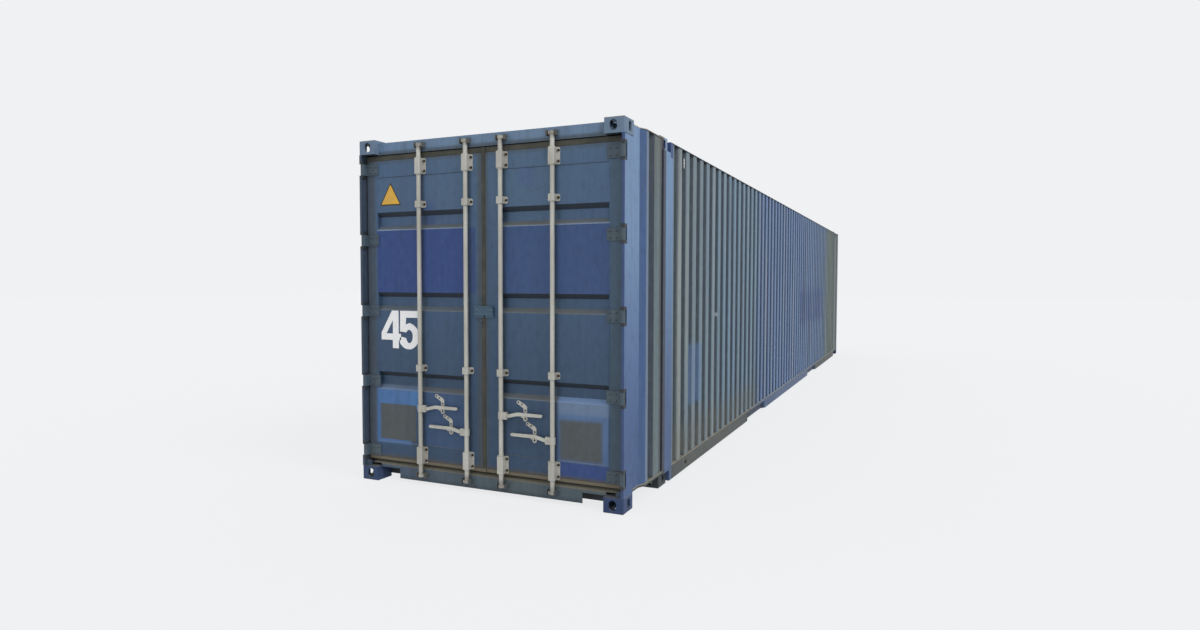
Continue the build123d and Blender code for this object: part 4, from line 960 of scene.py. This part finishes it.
VENTS = {"door": (-5.526, -1), "front": (5.526, 1)}
VENT_FACE, VENT_MIDDLE, BARS, BAR_SHARE = 1.238, 2.749, 7, 0.72
INSERT_WIDE, INSERT_HIGH, INSERT_THICK = 0.022, 0.086, 0.0035
RIM_WIDE, RIM_HIGH, RIM_THICK, RIM_BAND = 0.044, 0.104, 0.002, 0.006
pale_vent = vent_insert()
for end, (x, sign) in VENTS.items():
    bm = bmesh.new()
    pitch = INSERT_HIGH / BARS
    for step in range(BARS):
        lift = (step - (BARS - 1) / 2) * pitch
        block(bm, (x, sign * (VENT_FACE + INSERT_THICK / 2), VENT_MIDDLE + lift),
              (INSERT_WIDE, INSERT_THICK, pitch * BAR_SHARE))
    round_off(bm, bm.edges[:], 0.0008, 1)
    finished(f"vent_insert_{end}", bm, pale_vent, "root")
    bm = bmesh.new()
    block(bm, (x, sign * (VENT_FACE + RIM_THICK / 2), VENT_MIDDLE), (RIM_WIDE, RIM_THICK, RIM_HIGH))
    outward = [f for f in bm.faces if f.normal.y * sign > 0.9]
    bmesh.ops.inset_region(bm, faces=outward, thickness=RIM_BAND, depth=0, use_even_offset=True)
    bmesh.ops.delete(bm, geom=outward, context="FACES")
    finished(f"vent_rim_{end}", bm, lug_shade_paint, "root")

# %% [markdown]
# Steel boxes are welded by hand, and a bead of weld at a joint is what tells the eye that two plates
# are one. A bead is a thin tube along the joint, half sunk in the corner. A curve with a round bevel
# would be even, so a ring is drawn out step by step along the run instead, and swells or shrinks a
# little at each step.

# %% Weld beads
random.seed(45)


def bead(bm, start, end, radius=0.004, step=0.03):
    """A ribbed bead of weld from start to end."""
    start, end = Vector(start), Vector(end)
    run = end - start
    count = max(2, round(run.length / step))
    aim = run.to_track_quat("Z", "Y").to_matrix().to_4x4()
    ring = bmesh.ops.create_circle(bm, cap_ends=True, segments=6, radius=radius,
                                   matrix=Matrix.Translation(start) @ aim)["verts"]
    for index in range(1, count + 1):
        faces = [f for f in {f for v in ring for f in v.link_faces} if all(v in ring for v in f.verts)]
        grown = bmesh.ops.extrude_face_region(bm, geom=faces)["geom"]
        ring = [v for v in grown if isinstance(v, bmesh.types.BMVert)]
        bmesh.ops.delete(bm, geom=faces, context="FACES_ONLY")
        centre = start + run * index / count
        middle = sum((v.co for v in ring), Vector()) / len(ring)
        for vert in ring:
            vert.co += centre - middle
        swell = random.uniform(0.8, 1.2) * radius / (ring[0].co - centre).length
        bmesh.ops.scale(bm, vec=(swell, swell, swell), space=Matrix.Translation(-centre), verts=ring)


weld_paint = aged("weld_paint", (70, 92, 122), (96, 110, 126), rust=0.9, roughness=0.6)
CASTING_TALL, SIDE_WELD, END_WELD = 0.118, (0.006, 0.172), (1.213, 1.060)
WELD_SIDE, WELD_END = CASTING_SIDE - 0.001, BOX_END - 0.005
for side, sign in LEAVES.items():
    bm = bmesh.new()
    for z in (CASTING_TALL, TOP - CASTING_TALL):
        for end in (-1, 1):
            bead(bm, *((end * (BOX_END - back), sign * WELD_SIDE, z) for back in SIDE_WELD))
        bead(bm, *((WELD_END, sign * y, z) for y in END_WELD))
    finished(f"casting_welds_{side}", bm, weld_paint, "root")

SEAM_LOW, SEAM_HIGH = PANEL_LOW.z, PANEL_HIGH.z
for side, sign in LEAVES.items():
    bm = bmesh.new()
    for z in (SEAM_LOW, SEAM_HIGH):
        bead(bm, (DOOR_FACE, sign * PANEL_NEAR, z), (DOOR_FACE, sign * PANEL_FAR, z), 0.0028, 0.045)
    for y in (PANEL_NEAR, PANEL_FAR):
        bead(bm, (DOOR_FACE, sign * y, SEAM_LOW), (DOOR_FACE, sign * y, SEAM_HIGH), 0.0022, 0.09)
    finished(f"panel_welds_{side}", bm, door_paint, f"{side}_door")

# %% [markdown]
# The boards of the floor are screwed down to the beams below, and rings for lashing straps are
# welded along the feet of the side walls. A screw head is seen from above as a dull dot, so a flat
# cone is enough. A ring could be a torus, but a round section spun once about an axis can lie any
# way round.

# %% Screws and lashing rings in the hold
FLOOR_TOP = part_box("floor")[1].z
SCREW_ROWS = (-1.05, -0.62, -0.15, 0.15, 0.62, 1.05)
SCREW_LINES, SCREW_PITCH, SCREW_RADIUS, SCREW_RISE = 44, 0.305, 0.007, 0.0012
RINGS, RING_PITCH, RING_RADIUS, RING_THICK = 10, 1.2, 0.026, 0.0055
RING_SIDE, RING_HEIGHT = 1.196, 0.055


def spun_ring(bm, place, axis):
    """A round bar bent into a ring about an axis through place."""
    across = Vector((1, 0, 0))
    upright = across.cross(axis).to_track_quat("Z", "Y").to_matrix().to_4x4()
    start = Matrix.Translation(place + across * RING_RADIUS) @ upright
    section = bmesh.ops.create_circle(bm, segments=8, radius=RING_THICK, matrix=start)["verts"]
    edges = list({e for v in section for e in v.link_edges})
    bmesh.ops.spin(bm, geom=section + edges, cent=place, axis=axis, angle=math.tau, steps=20,
                   use_merge=True)


bm = bmesh.new()
for line in range(SCREW_LINES):
    x = (line - (SCREW_LINES - 1) / 2) * SCREW_PITCH
    for y in SCREW_ROWS:
        bmesh.ops.create_cone(bm, cap_ends=True, segments=8, radius1=SCREW_RADIUS,
                              radius2=SCREW_RADIUS * 0.7, depth=SCREW_RISE,
                              matrix=at(x, y, FLOOR_TOP + SCREW_RISE / 2))
finished("floor_screws", bm, dark_steel, "root")

for side, sign in LEAVES.items():
    bm = bmesh.new()
    for step in range(RINGS):
        x = (step - (RINGS - 1) / 2) * RING_PITCH
        spun_ring(bm, Vector((x, sign * RING_SIDE, FLOOR_TOP + RING_HEIGHT)), Vector((0, sign, 0)))
    finished(f"lashing_rings_{side}", bm, galvanised, "root")

# %% [markdown]
# The box stands on a plain pale floor under soft studio light. To the camera the floor and the
# world have one and the same pale colour, so no horizon shows, while light that falls on the steel
# comes from a duller floor and a soft sky. The floor still keeps part of its real shading, and with
# it the shadow under the box.

# %% Floor and sky
BACKDROP = srgb(240, 241, 243)
FLOOR_GLOW = (0.942, 0.953, 0.972, 1.0)
FLOOR_SHARE, SKY_LEVEL = 0.82, 0.98


def seen_directly(recipe):
    """1 for what the camera sees, also in a mirror or through glass."""
    rays = [recipe.node("ShaderNodeLightPath", output=name)
            for name in ("Is Camera Ray", "Is Glossy Ray", "Is Transmission Ray")]
    return recipe.node("ShaderNodeMath", {"operation": "MAXIMUM"}, {
        0: recipe.node("ShaderNodeMath", {"operation": "MAXIMUM"}, {0: rays[0], 1: rays[1]}), 1: rays[2]})


def pale_floor():
    ground = Recipe("pale_floor", roughness=0.9, base_color=(0.5, 0.5, 0.5, 1.0))
    tree = ground.tree
    glow = ground.node("ShaderNodeEmission", {}, {"Color": FLOOR_GLOW, "Strength": 1.0})
    blend = ground.node("ShaderNodeMixShader", {}, {0: seen_directly(ground) * FLOOR_SHARE, 2: glow})
    tree.links.new(ground.shader.outputs["BSDF"], blend.socket.node.inputs[1])
    tree.links.new(blend.socket, tree.nodes["Material Output"].inputs["Surface"])
    return ground.material


bpy.ops.mesh.primitive_plane_add(size=160, location=(0, 0, 0))
studio_floor = bpy.context.object
studio_floor.name = "studio_floor"
studio_floor.data.materials.append(pale_floor())
print("floor of", studio_floor.data.materials[0].name)


class Sky(Recipe):
    """The world's node tree, made by the same methods as a material's."""

    def __init__(self, world):
        world.use_nodes = True
        self.tree = world.node_tree
        self.shader = self.tree.nodes["Background"]


world = bpy.data.worlds.new("studio")
bpy.context.scene.world = world
sky = Sky(world)
seen = seen_directly(sky)
height = sky.part(sky.node("ShaderNodeTexCoord", output="Generated"), "Z")
soft_sky = SKY_LEVEL * (0.86 + height * 0.2)
sky.feed(sky.shader.inputs["Color"], BACKDROP)
sky.feed(sky.shader.inputs["Strength"], soft_sky * (1 - seen) + seen)
print("sky of", len(sky.tree.nodes), "nodes")

# %% [markdown]
# One weak lamp brings out the folds and guides. An area lamp would fade along a box of this length,
# so it is a sun, which has no place, only a direction. Its angle says how wide it looks: at 25
# degrees it leaves soft edges under the hinges and bars, and no hard shadow.

# %% One soft sun
SUN_ENERGY, SUN_WIDTH, SUN_AIM = 1.1, 25, Vector((0.15, 0.72, -0.68))
sun_data = bpy.data.lights.new("soft_sun", "SUN")
sun_data.energy, sun_data.angle = SUN_ENERGY, math.radians(SUN_WIDTH)
sun = bpy.data.objects.new("soft_sun", sun_data)
sun.rotation_euler = SUN_AIM.to_track_quat("-Z", "Y").to_euler()
bpy.context.scene.collection.objects.link(sun)
print("the sun looks", SUN_WIDTH, "degrees wide")

# %% [markdown]
# The camera stands where the photo was taken: at eye height, a few metres from the doors and a
# little to the right. Its place and turn were solved from points whose real places are known, such
# as the outer corners, and its focal length in pixels becomes a lens by the width of the sensor.

# %% The camera
PHOTO_WIDTH, FOCAL_PIXELS, SENSOR_WIDTH = 1200, 730, 36
CAMERA_PLACE = Vector((-11.737, -3.211, 1.6965))
CAMERA_YAW, CAMERA_PITCH, CAMERA_ROLL = 0.4207, -0.0436, 0.0022
look = Vector((math.cos(CAMERA_YAW) * math.cos(CAMERA_PITCH),
               math.sin(CAMERA_YAW) * math.cos(CAMERA_PITCH), math.sin(CAMERA_PITCH)))
camera_data = bpy.data.cameras.new("photo_camera")
camera_data.sensor_width = SENSOR_WIDTH
camera_data.lens = SENSOR_WIDTH * FOCAL_PIXELS / PHOTO_WIDTH
camera = bpy.data.objects.new("photo_camera", camera_data)
turn = look.to_track_quat("-Z", "Y").to_matrix() @ Matrix.Rotation(CAMERA_ROLL, 3, "Z")
camera.matrix_world = Matrix.Translation(CAMERA_PLACE) @ turn.to_4x4()
bpy.context.scene.collection.objects.link(camera)
bpy.context.scene.camera = camera
bpy.context.scene.view_settings.view_transform = "Standard"
print("lens of", round(camera_data.lens, 1), "mm")
